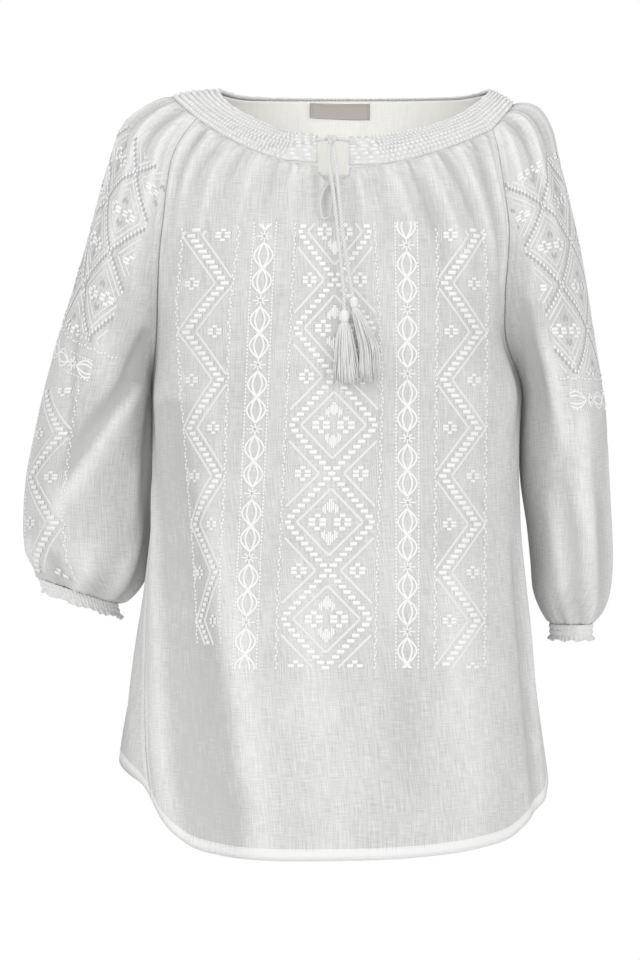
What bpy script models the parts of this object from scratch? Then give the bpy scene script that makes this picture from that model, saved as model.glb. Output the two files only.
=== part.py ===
"""Peasant blouse: hollow cloth shells in the pose of a worn garment, lengths in millimetres until the mesh.

X runs to the garment's left-hand seam side seen from the front as right, -Y is the front, +Z is up.
The origin is the level of the shoulder tops, on the middle line of the body.
"""

import bmesh
import bpy
import numpy as np

for old in list(bpy.data.objects):
    bpy.data.objects.remove(old)

MM = 0.001
WALL = 1.2
HEM_WALL = 2.0
SEAM_GAP = 0.3
HEM_DEPTH_SHARE = 0.03

UNDERARM_Z = -267.0

# Rings from the lower edge of the neckband (0) to the underarm (8).
RING = np.arange(9.0)

# Middle of the front and of the back on each ring.
FRONT_MIDDLE = {
    "x": (-2, -1, 0, 1, 1, 2, 2, 2, 2),
    "y": (-111, -116, -120, -124, -127, -129, -130, -131, -131),
    "z": (-76, -93, -112, -134, -157, -182, -210, -239, -267),
}
BACK_MIDDLE = {
    "x": (16, 12, 9, 6, 4, 3, 2, 2, 2),
    "y": (90, 100, 108, 113, 117, 120, 122, 122, 122),
    "z": (-36, -56, -78, -103, -131, -162, -194, -230, -267),
}
# Raglan seams: x and z of the front and back seams, and the oval of the sleeve that they cut,
# given by its middle y, its half depth and the half angle of it that the sleeve covers.
RAGLAN_RIGHT = {
    "front_x": (142, 146, 149, 153, 156, 155, 153, 155, 172),
    "front_z": (-38, -54, -74, -101, -129, -158, -190, -228, -267),
    "back_x": (146, 150, 153, 156, 158, 158, 158, 160, 172),
    "back_z": (-26, -44, -66, -92, -122, -155, -190, -228, -267),
    "top_x": (163, 184, 197, 205, 214, 223, 231, 238, 245),
    "top_z": (-11, -15, -34, -66, -103, -142, -183, -225, -267),
    "middle_y": (-3, -2, -1, 1, 3, 5, 7, 9, 10),
    "half_depth": (60, 62, 66, 72, 77, 79, 79, 77, 74),
    "half_angle": (60, 75, 90, 100, 108, 118, 130, 149, 180),
}
RAGLAN_LEFT = {
    "front_x": (-125, -136, -146, -151, -154, -158, -160, -162, -168),
    "front_z": (-28, -43, -63, -89, -117, -150, -188, -228, -267),
    "back_x": (-136, -144, -150, -154, -157, -160, -162, -163, -168),
    "back_z": (-20, -38, -60, -88, -118, -152, -190, -228, -267),
    "top_x": (-149, -172, -193, -205, -216, -227, -240, -253, -265),
    "top_z": (-4, -13, -30, -60, -98, -139, -183, -225, -267),
    "middle_y": (-3, -2, -1, 1, 3, 5, 7, 9, 10),
    "half_depth": (60, 62, 66, 72, 77, 78, 77, 74, 70),
    "half_angle": (60, 75, 90, 100, 108, 118, 130, 149, 180),
}
# Body below the underarm, by height: outermost x on either side, depth of front and back.
BODY = {
    "z": (-267, -300, -350, -400, -450, -500, -550, -600, -650, -700),
    "left_x": (-168, -167, -167, -168, -174, -182, -190, -197, -201, -203),
    "right_x": (172, 169, 168, 168, 173, 179, 184, 191, 198, 201),
    "front_y": (-131, -132, -133, -134, -136, -138, -141, -145, -149, -152),
    "back_y": (122, 121, 120, 121, 124, 129, 135, 141, 146, 149),
    "left_seam": (92.7, 92, 90, 84, 77, 70, 64, 59, 54, 52),
    "right_seam": (92.7, 92, 91, 90, 88, 86, 84, 81, 78, 76),
}
BODY_FULLNESS = 0.82
# Height of the hem by the angle round the body from the middle of the front.
HEM = {
    "angle": (-210, -180, -150, -120, -90, -68, -58, -50, -40, -30, -18, 0, 20, 40, 52, 60, 68, 78, 90, 120,
              150, 180, 210),
    "z": (-672, -684, -672, -640, -610, -618, -630, -655, -678, -686, -689, -689, -687, -680, -672, -660, -648,
          -634, -620, -640, -672, -684, -672),
}
# Sleeves below the underarm: middle, half width, half depth and tilt of each ring.
SLEEVE_RIGHT = {
    "z": (-267, -300, -350, -396, -428, -455, -474, -486),
    "x": (209.0, 209.6, 210.8, 215.2, 217.4, 217.5, 218.0, 217.8),
    "y": (10, 20, 31, 35, 37, 37, 37, 37),
    "half_width": (36.1, 40.0, 40.6, 38.4, 37.0, 34.6, 28.5, 19.5),
    "half_depth": (74, 75, 76, 76, 75, 71, 60, 47),
    "tilt": (0, 0, 0, 0, 0, 0, 0, 0),
}
SLEEVE_LEFT = {
    "z": (-267, -300, -350, -396, -424, -440, -452, -456),
    "x": (-217.0, -220.8, -224.5, -226.0, -227.5, -230.0, -234.5, -238.0),
    "y": (10, 25, 44, 53, 54, 54, 54, 54),
    "half_width": (48.1, 52.2, 60.5, 62.0, 58.5, 53.0, 45.0, 38.0),
    "half_depth": (70, 69, 68, 67, 65, 60, 47, 34),
    "tilt": (0, 0, 0, 0, 6, 13, 18, 18),
}
CUFF_HEIGHT = 14.0
CUFF_FLARE = 2.5

# Upper edge of the neckband at the middle front, front seams, shoulders, back seams and middle back.
NECK_EDGE = {
    "angle": (-225, -180, -135, -90, -48, -25, 0, 25, 48, 90, 135, 180, 225),
    "x": (110, 17, -76, -104, -79, -45, -2, 46, 92, 140, 110, 17, -76),
    "y": (48, 72, 48, -8, -66, -88, -97, -89, -70, -8, 48, 72, 48),
    "z": (0.5, 1, 0.5, 0, -25.5, -41, -47, -45, -33.5, 0, 0.5, 1, 0.5),
}
SLIT_WIDTH = 28.0
SLIT_DEPTH = 13.0
SLIT_ANGLE = 13.0

LABEL_WIDTH = 57.0
LABEL_MIDDLE = 4.5

CORD_RADIUS = 1.8
LOOP_RADIUS = 1.1
LINEN = ((0.86, 0.86, 0.85), 0.85)
FACING_LINEN = ((0.83, 0.81, 0.77), 0.85)
COTTON_CORD = ((0.88, 0.88, 0.86), 0.8)
LABEL_SATIN = ((0.52, 0.50, 0.45), 0.6)


def smooth(knots, values, at):
    """Cubic through the knots with slopes taken from their neighbours."""
    knots = np.asarray(knots, float)
    values = np.asarray(values, float)
    at = np.clip(np.asarray(at, float), knots[0], knots[-1])
    slope = np.gradient(values, knots)
    low = np.clip(np.searchsorted(knots, at, side="right") - 1, 0, len(knots) - 2)
    width = knots[low + 1] - knots[low]
    s = (at - knots[low]) / width
    rise = values[low + 1] - values[low]
    bend = (slope[low] * width - rise) * (1 - s) - (slope[low + 1] * width - rise) * s
    return values[low] + rise * s + s * (1 - s) * bend


def ring_value(table, column, ring):
    return smooth(RING, table[column], ring)


def raglan_point(side, which, ring):
    """Point of the front or back raglan seam of one side."""
    turn = np.radians(ring_value(side, "half_angle", ring))
    reach = ring_value(side, "half_depth", ring) * np.sin(turn)
    middle = ring_value(side, "middle_y", ring)
    y = middle - reach if which == "front" else middle + reach
    return ring_value(side, which + "_x", ring), y, ring_value(side, which + "_z", ring)


def yoke_panel(u, ring, which):
    """Front or back above the underarm; u runs from the left side (0) to the right side (1)."""
    middle = FRONT_MIDDLE if which == "front" else BACK_MIDDLE
    left = raglan_point(RAGLAN_LEFT, which, ring)
    right = raglan_point(RAGLAN_RIGHT, which, ring)
    span = np.radians(smooth((0, 4, 8), (62, 72, 90), ring))
    full = smooth((0, 4, 8), (1.0, 0.95, BODY_FULLNESS), ring)
    across = np.sin((2 * u - 1) * span) / np.sin(span)
    least = np.clip(np.cos(span), 0, 1) ** full
    bulge = (np.clip(np.cos((2 * u - 1) * span), 0, 1) ** full - least) / (1 - least)
    out = []
    for axis, name in enumerate("xyz"):
        centre = ring_value(middle, name, ring)
        ends = (right[axis] + left[axis]) / 2
        lean = (right[axis] - left[axis]) / 2
        if name == "y":
            out.append(ends + lean * across + (centre - ends) * bulge)
        else:
            out.append(centre + lean * across + (ends - centre) * across**2)
    return np.stack(out, -1)


def body_panel(angle, z):
    """Point of the body below the underarm at an angle in degrees from the middle of the front."""
    left = smooth(BODY["z"][::-1], BODY["left_x"][::-1], z)
    right = smooth(BODY["z"][::-1], BODY["right_x"][::-1], z)
    front = smooth(BODY["z"][::-1], BODY["front_y"][::-1], z)
    back = smooth(BODY["z"][::-1], BODY["back_y"][::-1], z)
    turn = np.radians(angle)
    cosine = np.cos(turn)
    depth = np.where(cosine > 0, front, back)
    x = (left + right) / 2 + (right - left) / 2 * np.sin(turn)
    return np.stack([x, depth * np.abs(cosine) ** BODY_FULLNESS, z], -1)


def body_panel_rows(u, drop, which):
    """Front or back from the underarm (drop 0) to the hem (drop 1)."""
    z = UNDERARM_Z
    for _ in range(4):
        left = -smooth(BODY["z"][::-1], BODY["left_seam"][::-1], z)
        right = smooth(BODY["z"][::-1], BODY["right_seam"][::-1], z)
        if which == "back":
            left = left + 360
            angle = left + (right - left) * u
            wrapped = np.where(angle > 180, angle - 360, angle)
        else:
            angle = left + (right - left) * u
            wrapped = angle
        z = UNDERARM_Z + (smooth(HEM["angle"], HEM["z"], wrapped) - UNDERARM_Z) * drop
    return body_panel(angle, z)


def sleeve_yoke(u, ring, side):
    """Sleeve above the underarm, from the front raglan (0) round the outside to the back raglan (1)."""
    s = 2 * u - 1
    half = np.radians(ring_value(side, "half_angle", ring))
    front = raglan_point(side, "front", ring)
    back = raglan_point(side, "back", ring)
    least = np.cos(half)
    reach = (np.cos(s * half) - least) / (1 - least)
    seam_x = front[0] * (1 - u) + back[0] * u
    x = seam_x + (ring_value(side, "top_x", ring) - seam_x) * reach
    y = ring_value(side, "middle_y", ring) + ring_value(side, "half_depth", ring) * np.sin(s * half)
    top = ring_value(side, "top_z", ring)
    z = top + (back[2] - front[2]) / 2 * s + ((back[2] + front[2]) / 2 - top) * s**2
    return np.stack([x, y, z], -1)


def sleeve_tube(u, level, table, outward):
    """Sleeve below the underarm; level is an index into the table's rows."""
    rows = np.arange(len(table["z"]))
    turn = np.radians((2 * u - 1) * 180)
    tilt = np.radians(smooth(rows, table["tilt"], level))
    across = smooth(rows, table["half_width"], level) * np.cos(turn) * outward
    x = smooth(rows, table["x"], level) + across * np.cos(tilt)
    y = smooth(rows, table["y"], level) + smooth(rows, table["half_depth"], level) * np.sin(turn)
    z = smooth(rows, table["z"], level) - across * np.sin(tilt)
    return np.stack([x, y, z], -1)


def normals_of(points, faces):
    """Area-weighted vertex normals of a quad mesh."""
    normal = np.zeros_like(points)
    for face in faces:
        corner = points[list(face)]
        facing = np.cross(corner[2] - corner[0], corner[-1] - corner[1])
        for index in face:
            normal[index] += facing
    return normal / np.maximum(np.linalg.norm(normal, axis=1, keepdims=True), 1e-9)


def material(name, look):
    made = bpy.data.materials.get(name) or bpy.data.materials.new(name)
    made.use_nodes = True
    shader = made.node_tree.nodes["Principled BSDF"]
    shader.inputs["Base Color"].default_value = (*look[0], 1.0)
    shader.inputs["Roughness"].default_value = look[1]
    shader.inputs["Metallic"].default_value = 0.0
    return made


def solid(name, points, faces, look, smooth_shading=True):
    mesh = bpy.data.meshes.new(name)
    mesh.from_pydata([tuple(p * MM) for p in points], [], [tuple(f) for f in faces])
    work = bmesh.new()
    work.from_mesh(mesh)
    bmesh.ops.recalc_face_normals(work, faces=work.faces)
    if work.calc_volume(signed=True) < 0:
        bmesh.ops.reverse_faces(work, faces=work.faces)
    bmesh.ops.triangulate(work, faces=work.faces)
    work.to_mesh(mesh)
    work.free()
    mesh.materials.append(material(name, look))
    mesh.polygons.foreach_set("use_smooth", [smooth_shading] * len(mesh.polygons))
    made = bpy.data.objects.new(name, mesh)
    bpy.context.scene.collection.objects.link(made)
    return made


def shell(name, points, faces, look, wall):
    """Closed wall on the inner side of a sheet whose faces look outward."""
    points = np.asarray(points, float)
    normal = normals_of(points, faces)
    inner = points - normal * np.reshape(wall, (-1, 1)) * np.ones((len(points), 1))
    count = len(points)
    edges = {}
    for face in faces:
        for a, b in zip(face, face[1:] + face[:1]):
            edges[(a, b)] = 1
    rim = [(a, b) for a, b in edges if (b, a) not in edges]
    sides = [(b, a, a + count, b + count) for a, b in rim]
    backs = [tuple(i + count for i in reversed(face)) for face in faces]
    return solid(name, np.vstack([points, inner]), list(faces) + backs + sides, look)


def grid_faces(rows, columns, closed=False):
    """Quads of a grid stored row by row."""
    faces = []
    for row in range(rows - 1):
        for column in range(columns if closed else columns - 1):
            after = (column + 1) % columns
            faces.append((row * columns + column, row * columns + after,
                          (row + 1) * columns + after, (row + 1) * columns + column))
    return faces


def facing_out(points, faces, centre):
    """Turns every face over when the sheet looks towards its own centre."""
    corner = points[[face[0] for face in faces]]
    normal = normals_of(points, faces)[[face[0] for face in faces]]
    if np.sum((corner - centre) * normal) < 0:
        return [tuple(reversed(face)) for face in faces]
    return faces


def folds(u, v, table):
    """Sum of soft ridges and troughs, each running from one u to another between two heights."""
    lift = np.zeros(np.broadcast(u, v).shape)
    for top_u, low_u, top_v, low_v, width, height in table:
        along = (v - top_v) / (low_v - top_v)
        inside = np.clip(along, 0, 1)
        fade = np.where((along > 0) & (along < 1), np.sin(np.pi * inside ** 0.6) ** 0.8, 0.0)
        lift += height * fade * np.exp(-(((u - top_u - (low_u - top_u) * inside) / width) ** 2))
    return lift


# Main creases: u at the upper end, u at the lower end, v at both ends, width in u, height in mm.
FRONT_FOLDS = (
    (0.06, 0.03, 0.00, 0.22, 0.020, 3.0), (0.14, 0.08, 0.00, 0.20, 0.018, -2.5),
    (0.21, 0.14, 0.00, 0.26, 0.020, 2.6), (0.29, 0.23, 0.00, 0.18, 0.018, -2.4),
    (0.37, 0.33, 0.00, 0.24, 0.020, 2.2), (0.45, 0.43, 0.00, 0.16, 0.018, -2.0),
    (0.56, 0.58, 0.00, 0.20, 0.020, 2.2), (0.64, 0.68, 0.00, 0.24, 0.018, -2.6),
    (0.72, 0.80, 0.00, 0.28, 0.022, 3.0), (0.80, 0.88, 0.00, 0.24, 0.020, -3.4),
    (0.88, 0.94, 0.00, 0.26, 0.020, 3.0), (0.22, 0.20, 0.60, 1.05, 0.030, -3.5),
    (0.10, 0.12, 0.66, 1.10, 0.030, 3.0), (0.90, 0.92, 0.70, 1.10, 0.025, -3.0),
)
BACK_FOLDS = (
    (0.10, 0.07, 0.00, 0.24, 0.022, 2.6), (0.20, 0.16, 0.00, 0.20, 0.020, -2.4),
    (0.30, 0.26, 0.00, 0.26, 0.022, 2.4), (0.41, 0.39, 0.00, 0.22, 0.022, -2.2),
    (0.52, 0.52, 0.00, 0.27, 0.022, 2.4), (0.62, 0.65, 0.00, 0.21, 0.020, -2.2),
    (0.72, 0.77, 0.00, 0.26, 0.022, 2.6), (0.83, 0.88, 0.00, 0.22, 0.020, -2.6),
    (0.30, 0.27, 0.55, 1.10, 0.040, 4.0), (0.68, 0.72, 0.58, 1.10, 0.040, -4.0),
    (0.50, 0.51, 0.70, 1.10, 0.030, 3.0),
)
SLEEVE_FOLDS = (
    (0.14, 0.20, 0.00, 0.36, 0.035, 3.2), (0.28, 0.32, 0.00, 0.26, 0.030, -2.8),
    (0.42, 0.44, 0.00, 0.30, 0.030, 2.6), (0.56, 0.56, 0.00, 0.24, 0.030, -2.4),
    (0.70, 0.68, 0.00, 0.30, 0.032, 2.8), (0.85, 0.82, 0.00, 0.26, 0.032, -2.6),
    (0.24, 0.28, 0.62, 1.00, 0.040, 2.6), (0.40, 0.38, 0.60, 1.00, 0.040, -2.6),
    (0.62, 0.62, 0.62, 1.00, 0.040, 2.6), (0.78, 0.76, 0.60, 1.00, 0.040, -2.6),
)
YOKE_SHARE = 0.40


def panel_points(which, u, v, table):
    """Front or back at u across and v down, 0 at the neckband and 1 at the hem, creases included."""
    ring = np.clip(v / YOKE_SHARE, 0, 1) * 8
    drop = np.clip((v - YOKE_SHARE) / (1 - YOKE_SHARE), 0, 1)
    upper = yoke_panel(u, ring, which)
    lower = body_panel_rows(u, drop, which)
    base = np.where((v < YOKE_SHARE)[..., None], upper, lower)
    return base, folds(u, v, table)


def pushed(points, faces, lift):
    """Points moved out along their normals."""
    return points + normals_of(points, faces) * lift.reshape(-1, 1)


def make_panel(which, columns, table):
    inset = SEAM_GAP / 320
    rows = [ring / 8 * YOKE_SHARE for ring in SHARED_RINGS] + list(LOWER_ROWS)
    u, v = np.meshgrid(np.linspace(inset, 1 - inset, columns), np.array(rows))
    base, lift = panel_points(which, u, v, table)
    points = base.reshape(-1, 3)
    faces = facing_out(points, grid_faces(len(rows), columns), np.array((0, 0, -300)))
    edge = np.minimum(u, 1 - u)
    quiet = np.clip(edge / 0.05, 0, 1) * np.clip(v / 0.02, 0, 1)
    points = pushed(points, faces, lift * quiet)
    wall = np.where(v > 1 - HEM_DEPTH_SHARE, HEM_WALL, WALL)
    return points, faces, wall.reshape(-1)


# Rings shared by every piece that meets along the raglan seams, then rows down to the hem.
SHARED_RINGS = (0.0, 0.8, 1.7, 2.8, 4.0, 5.2, 6.2, 7.0, 7.6, 8.0)
LOWER_ROWS = (0.44, 0.51, 0.6, 0.7, 0.8, 0.9, 0.965, 1.0)
SLEEVE_LEVELS = (0.0, 0.4, 1.1, 2.0, 3.0, 3.9, 4.7, 5.5, 6.2, 7.0)
FRONT_COLUMNS = 35
BACK_COLUMNS = 27
SLEEVE_COLUMNS = 25
BAND_COLUMNS = 53
SLIT_COLUMNS = 2


def front_panel():
    points, faces, wall = make_panel("front", FRONT_COLUMNS, FRONT_FOLDS)
    middle = FRONT_COLUMNS // 2
    lowered = {0: -SLIT_DEPTH, 1: -SLIT_DEPTH * 0.75, 2: -SLIT_DEPTH * 0.35}
    for offset in range(-SLIT_COLUMNS, SLIT_COLUMNS + 1):
        index = FRONT_COLUMNS + middle + offset
        points[index, 2] = points[middle + offset, 2] + lowered[abs(offset)]
        share = lowered[abs(offset)] / -SLIT_DEPTH
        points[index, 1] = points[middle + offset, 1] - 5.0 * share
    edge = SLIT_WIDTH / 2
    points[middle - SLIT_COLUMNS, 0] = points[middle, 0] - edge
    points[middle + SLIT_COLUMNS, 0] = points[middle, 0] + edge
    cut = {middle + offset for offset in range(-SLIT_COLUMNS, SLIT_COLUMNS)}
    faces = [face for face in faces if min(face) not in cut]
    used = sorted({index for face in faces for index in face})
    renumber = {index: place for place, index in enumerate(used)}
    faces = [tuple(renumber[index] for index in face) for face in faces]
    return shell("front_panel", points[used], faces, LINEN, wall[used])


def back_panel():
    points, faces, wall = make_panel("back", BACK_COLUMNS, BACK_FOLDS)
    return shell("back_panel", points, faces, LINEN, wall)


def sleeve(name, side, table, outward):
    """One sheet: open along the raglan seams down to the underarm, then a tube."""
    columns = SLEEVE_COLUMNS
    upper = SHARED_RINGS[:-1]
    levels = SLEEVE_LEVELS
    inset = SEAM_GAP / 2 / 150
    points = []
    heights = []
    across = []
    for ring in upper:
        u = np.linspace(inset, 1 - inset, columns)
        points.append(sleeve_yoke(u, np.full(columns, ring), side))
        heights.append(np.full(columns, ring / 8 * 0.5))
        across.append(u)
    start = len(upper) * columns
    around = columns - 1
    for level in levels:
        u = np.linspace(0, 1, columns)[:-1]
        points.append(sleeve_tube(u, np.full(around, level), table, outward))
        heights.append(np.full(around, 0.5 + level / 14))
        across.append(u)
    faces = grid_faces(len(upper), columns)
    last = start - columns
    for column in range(around):
        faces.append((last + column, last + column + 1, start + (column + 1) % around, start + column))
    for row in range(len(levels) - 1):
        for column in range(around):
            after = (column + 1) % around
            faces.append((start + row * around + column, start + row * around + after,
                          start + (row + 1) * around + after, start + (row + 1) * around + column))
    points = np.vstack(points)
    centre = np.array((table["x"][3], table["y"][3], table["z"][3]))
    normal = normals_of(points, faces)
    outside = points[start:] - centre
    if np.sum(outside * normal[start:]) < 0:
        faces = [tuple(reversed(face)) for face in faces]
    heights = np.concatenate(heights)
    across = np.concatenate(across)
    edge = np.minimum(across, 1 - across)
    quiet = np.clip(edge / 0.10, 0, 1) * np.clip(heights / 0.02, 0, 1) * np.clip((1 - heights) / 0.03, 0, 1)
    points = pushed(points, faces, folds(across, heights, SLEEVE_FOLDS) * quiet)
    return shell(name, points, faces, LINEN, WALL)


def cuff(name, table, outward):
    """Elastic casing below the sleeve's last ring, with a small flared frill at its lower edge."""
    around = 24
    u = np.linspace(0, 1, around + 1)[:-1]
    last = len(table["z"]) - 1.0
    base = sleeve_tube(u, np.full(around, last), table, outward)
    middle = base.mean(0)
    tilt = np.radians(table["tilt"][-1])
    down = np.array((-np.sin(tilt) * outward, 0, -np.cos(tilt)))
    rows = []
    for depth, grow in ((SEAM_GAP, -0.3), (4.0, -0.6), (9.0, -0.6), (CUFF_HEIGHT, CUFF_FLARE)):
        spread = base - middle
        size = np.linalg.norm(spread, axis=1, keepdims=True)
        rows.append(middle + spread * (1 + grow / size) + down * depth)
    points = np.vstack(rows)
    faces = facing_out(points, grid_faces(len(rows), around, closed=True), middle + down * 5)
    return shell(name, points, faces, LINEN, WALL + 0.4)


def band_lower(angle):
    """Lower edge of the neckband: front, sleeves and back at ring 0, by angle from the middle front."""
    out = np.zeros((len(angle), 3))
    for i, a in enumerate(angle):
        if abs(a) <= 60:
            out[i] = yoke_panel(np.array(0.5 + a / 120), np.array(0.0), "front")
        elif abs(a) >= 122:
            share = (180 - abs(a)) / 58
            u = 0.5 + (share if a > 0 else -share) * 0.5
            out[i] = yoke_panel(np.array(u), np.array(0.0), "back")
        else:
            side = RAGLAN_RIGHT if a > 0 else RAGLAN_LEFT
            out[i] = sleeve_yoke(np.array((abs(a) - 60) / 62), np.array(0.0), side)
    return out


def band_points(angle, down):
    """Neckband from its upper edge (0) to its lower edge (1)."""
    top = np.stack([smooth(NECK_EDGE["angle"], NECK_EDGE[axis], angle) for axis in "xyz"], -1)
    low = band_lower(angle)
    point = top + (low - top) * down
    arch = np.sin(np.pi * down)
    point[:, 2] += 2.5 * arch
    return point


def neckband():
    """One shirred ring, open over the front slit."""
    angle = np.linspace(SLIT_ANGLE - 360, -SLIT_ANGLE, BAND_COLUMNS)
    angle = np.where(angle < -180, angle + 360, angle)
    rows = [band_points(angle, down) for down in (0.0, 0.33, 0.66, 0.985)]
    points = np.vstack(rows)
    for row in range(len(rows)):
        points[row * BAND_COLUMNS, 0] = FRONT_MIDDLE["x"][0] + SLIT_WIDTH / 2
        points[row * BAND_COLUMNS + BAND_COLUMNS - 1, 0] = FRONT_MIDDLE["x"][0] - SLIT_WIDTH / 2
    faces = facing_out(points, grid_faces(len(rows), BAND_COLUMNS), np.array((16, 0, -60)))
    return shell("neckband", points, faces, LINEN, 1.6)


def moved_in(points, faces, distance):
    """Points moved in along their normals."""
    return points - normals_of(points, faces) * distance


def back_facing():
    """Plain facing inside the back of the neck, from the band's upper edge down past it."""
    angle = np.linspace(104, 256, 31)
    angle = np.where(angle > 180, angle - 360, angle)
    rows = []
    for down in (0.04, 0.5, 1.0):
        rows.append(band_points(angle, down))
    for ring in (0.8, 1.6):
        row = []
        for a in angle:
            share = (180 - abs(a)) / 58
            u = 0.5 + (share if a > 0 else -share) * 0.5
            u = min(max(u, 0.0), 1.0)
            row.append(yoke_panel(np.array(u), np.array(ring), "back"))
            if abs(a) < 122:
                side = RAGLAN_RIGHT if a > 0 else RAGLAN_LEFT
                row[-1] = sleeve_yoke(np.array((abs(a) - 60) / 62), np.array(ring), side)
        rows.append(np.array(row))
    points = np.vstack(rows)
    faces = facing_out(points, grid_faces(5, 31), np.array((16, 0, -60)))
    points = moved_in(points, faces, 1.6 + 2.8)
    return shell("back_facing", points, faces, FACING_LINEN, 0.9)


def neck_label():
    """Blank woven label on the facing, a little off the middle of the back."""
    rows = []
    for down in (0.10, 0.32, 0.54):
        angle = np.linspace(172.2, 199.9, 7)
        angle = np.where(angle > 180, angle - 360, angle)
        row = band_points(angle, down)
        row[:, 0] = np.linspace(LABEL_MIDDLE + LABEL_WIDTH / 2, LABEL_MIDDLE - LABEL_WIDTH / 2, 7)
        rows.append(row)
    points = np.vstack(rows)
    faces = facing_out(points, grid_faces(3, 7), np.array((16, 0, -60)))
    points = moved_in(points, faces, 1.6 + 2.8 + 0.9 + 0.5)
    return shell("neck_label", points, faces, LABEL_SATIN, 1.0)


def cord(name, route, radius, spacing):
    """Round cord along a smooth curve through the route."""
    route = np.asarray(route, float)
    steps = np.concatenate([[0], np.cumsum(np.linalg.norm(np.diff(route, axis=0), axis=1))])
    count = max(3, int(round(steps[-1] / spacing)) + 1)
    at = np.linspace(0, steps[-1], count)
    points = np.stack([smooth(steps, route[:, axis], at) for axis in range(3)], -1)
    data = bpy.data.curves.new(name, "CURVE")
    data.dimensions = "3D"
    data.bevel_depth = radius * MM
    data.bevel_resolution = 2
    data.use_fill_caps = True
    spline = data.splines.new("POLY")
    spline.points.add(len(points) - 1)
    for place, point in enumerate(points):
        spline.points[place].co = (*(point * MM), 1.0)
    data.materials.append(material(name, COTTON_CORD))
    made = bpy.data.objects.new(name, data)
    bpy.context.scene.collection.objects.link(made)
    return made


def turned(name, centres, half_x, half_y, look, around=12):
    """Closed body from stacked oval rings, with a point in the middle of each end."""
    points = []
    for centre, wide, deep in zip(centres, half_x, half_y):
        for turn in np.linspace(0, 2 * np.pi, around, endpoint=False):
            points.append(np.array(centre, float) + (wide * np.cos(turn), deep * np.sin(turn), 0))
    faces = grid_faces(len(centres), around, closed=True)
    points.append(np.array(centres[0], float))
    points.append(np.array(centres[-1], float))
    first, last = len(points) - 2, len(points) - 1
    base = (len(centres) - 1) * around
    for turn in range(around):
        after = (turn + 1) % around
        faces.append((first, after, turn))
        faces.append((last, base + turn, base + after))
    return solid(name, np.array(points), faces, look)


front_panel()
back_panel()
sleeve("sleeve_right", RAGLAN_RIGHT, SLEEVE_RIGHT, 1)
sleeve("sleeve_left", RAGLAN_LEFT, SLEEVE_LEFT, -1)
cuff("cuff_right", SLEEVE_RIGHT, 1)
cuff("cuff_left", SLEEVE_LEFT, -1)
neckband()
back_facing()
neck_label()

# Drawstring: from each end of the band's casing to the knot, then two tails with tassels.
KNOT = np.array((-3.5, -106.0, -51.0))
cord("tie_casing_right", [(11.0, -101.5, -51.5), (6.5, -104.5, -51.0), (3.0, -106.0, -51.0)],
     CORD_RADIUS, 3.0)
cord("tie_casing_left", [(-15.0, -101.5, -51.5), (-12.0, -104.5, -51.0), (-10.1, -106.0, -51.0)],
     CORD_RADIUS, 3.0)
turned("tie_knot", [KNOT + (0, 0, dz) for dz in (5.0, 3.5, 0.0, -3.5, -5.0)],
       (2.4, 4.6, 5.4, 4.6, 2.6), (1.8, 3.4, 4.0, 3.4, 2.0), COTTON_CORD)
cord("tie_tail_left", [(-5.6, -107.4, -56.4), (-5.4, -113.5, -68), (-3.6, -124.0, -86), (-0.5, -129.5, -110),
                       (2.0, -133.0, -135), (5.2, -135.5, -165), (7.4, -136.5, -190), (7.6, -137.0, -203.5)],
     CORD_RADIUS, 8.0)
cord("tie_tail_right", [(-1.3, -107.4, -56.4), (-0.4, -115.5, -68), (1.6, -125.5, -86), (4.0, -130.5, -110),
                        (6.4, -134.0, -135), (10.2, -136.0, -160), (13.2, -136.5, -180), (15.6, -137.0, -192.0)],
     CORD_RADIUS, 8.0)
cord("slit_loop", [(-6.6, -118.6, -91.5), (-9.4, -119.6, -96), (-12.6, -121.4, -104), (-12.9, -123.6, -115),
                   (-10.2, -125.0, -122.5), (-6.2, -125.0, -121.5), (-3.6, -123.4, -112), (-2.8, -121.0, -101),
                   (-3.0, -118.8, -92)], LOOP_RADIUS, 2.6)
LEFT_HEAD = np.array((7.8, -137.0, -209.5))
turned("tassel_head_left", [LEFT_HEAD + (0, 0, dz) for dz in (5.6, 4.2, 0.0, -4.0, -5.4)],
       (1.8, 3.4, 4.4, 3.6, 2.4), (1.6, 3.0, 3.8, 3.2, 2.2), COTTON_CORD)
RIGHT_HEAD = np.array((16.4, -137.0, -197.4))
turned("tassel_head_right", [RIGHT_HEAD + (0, 0, dz) for dz in (5.0, 3.8, 0.0, -3.4, -4.6)],
       (1.8, 3.0, 3.7, 3.1, 2.2), (1.6, 2.8, 3.4, 2.8, 2.0), COTTON_CORD)
turned("tassel_skirt_left",
       [(7.9, -137.2, -215.3), (8.0, -137.4, -220), (8.0, -137.8, -232), (9.0, -138.4, -250), (10.0, -139.0, -268)],
       (3.0, 5.6, 8.2, 10.2, 11.4), (2.4, 3.8, 4.8, 5.2, 5.4), COTTON_CORD)
turned("tassel_skirt_right",
       [(17.3, -137.2, -202.4), (19.2, -137.4, -207), (24.4, -137.8, -222), (29.6, -138.2, -240),
        (30.6, -139.0, -266)],
       (2.6, 4.4, 6.6, 8.2, 8.6), (2.2, 3.4, 4.4, 5.0, 5.2), COTTON_CORD)
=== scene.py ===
"""Peasant blouse of white slubbed linen with white embroidery, as worn, held up at its shoulders.

Lengths are in millimetres until a mesh is made. -Y is the front, +Z is up, and the origin is the mount
at the level of the shoulders.
"""

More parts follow.
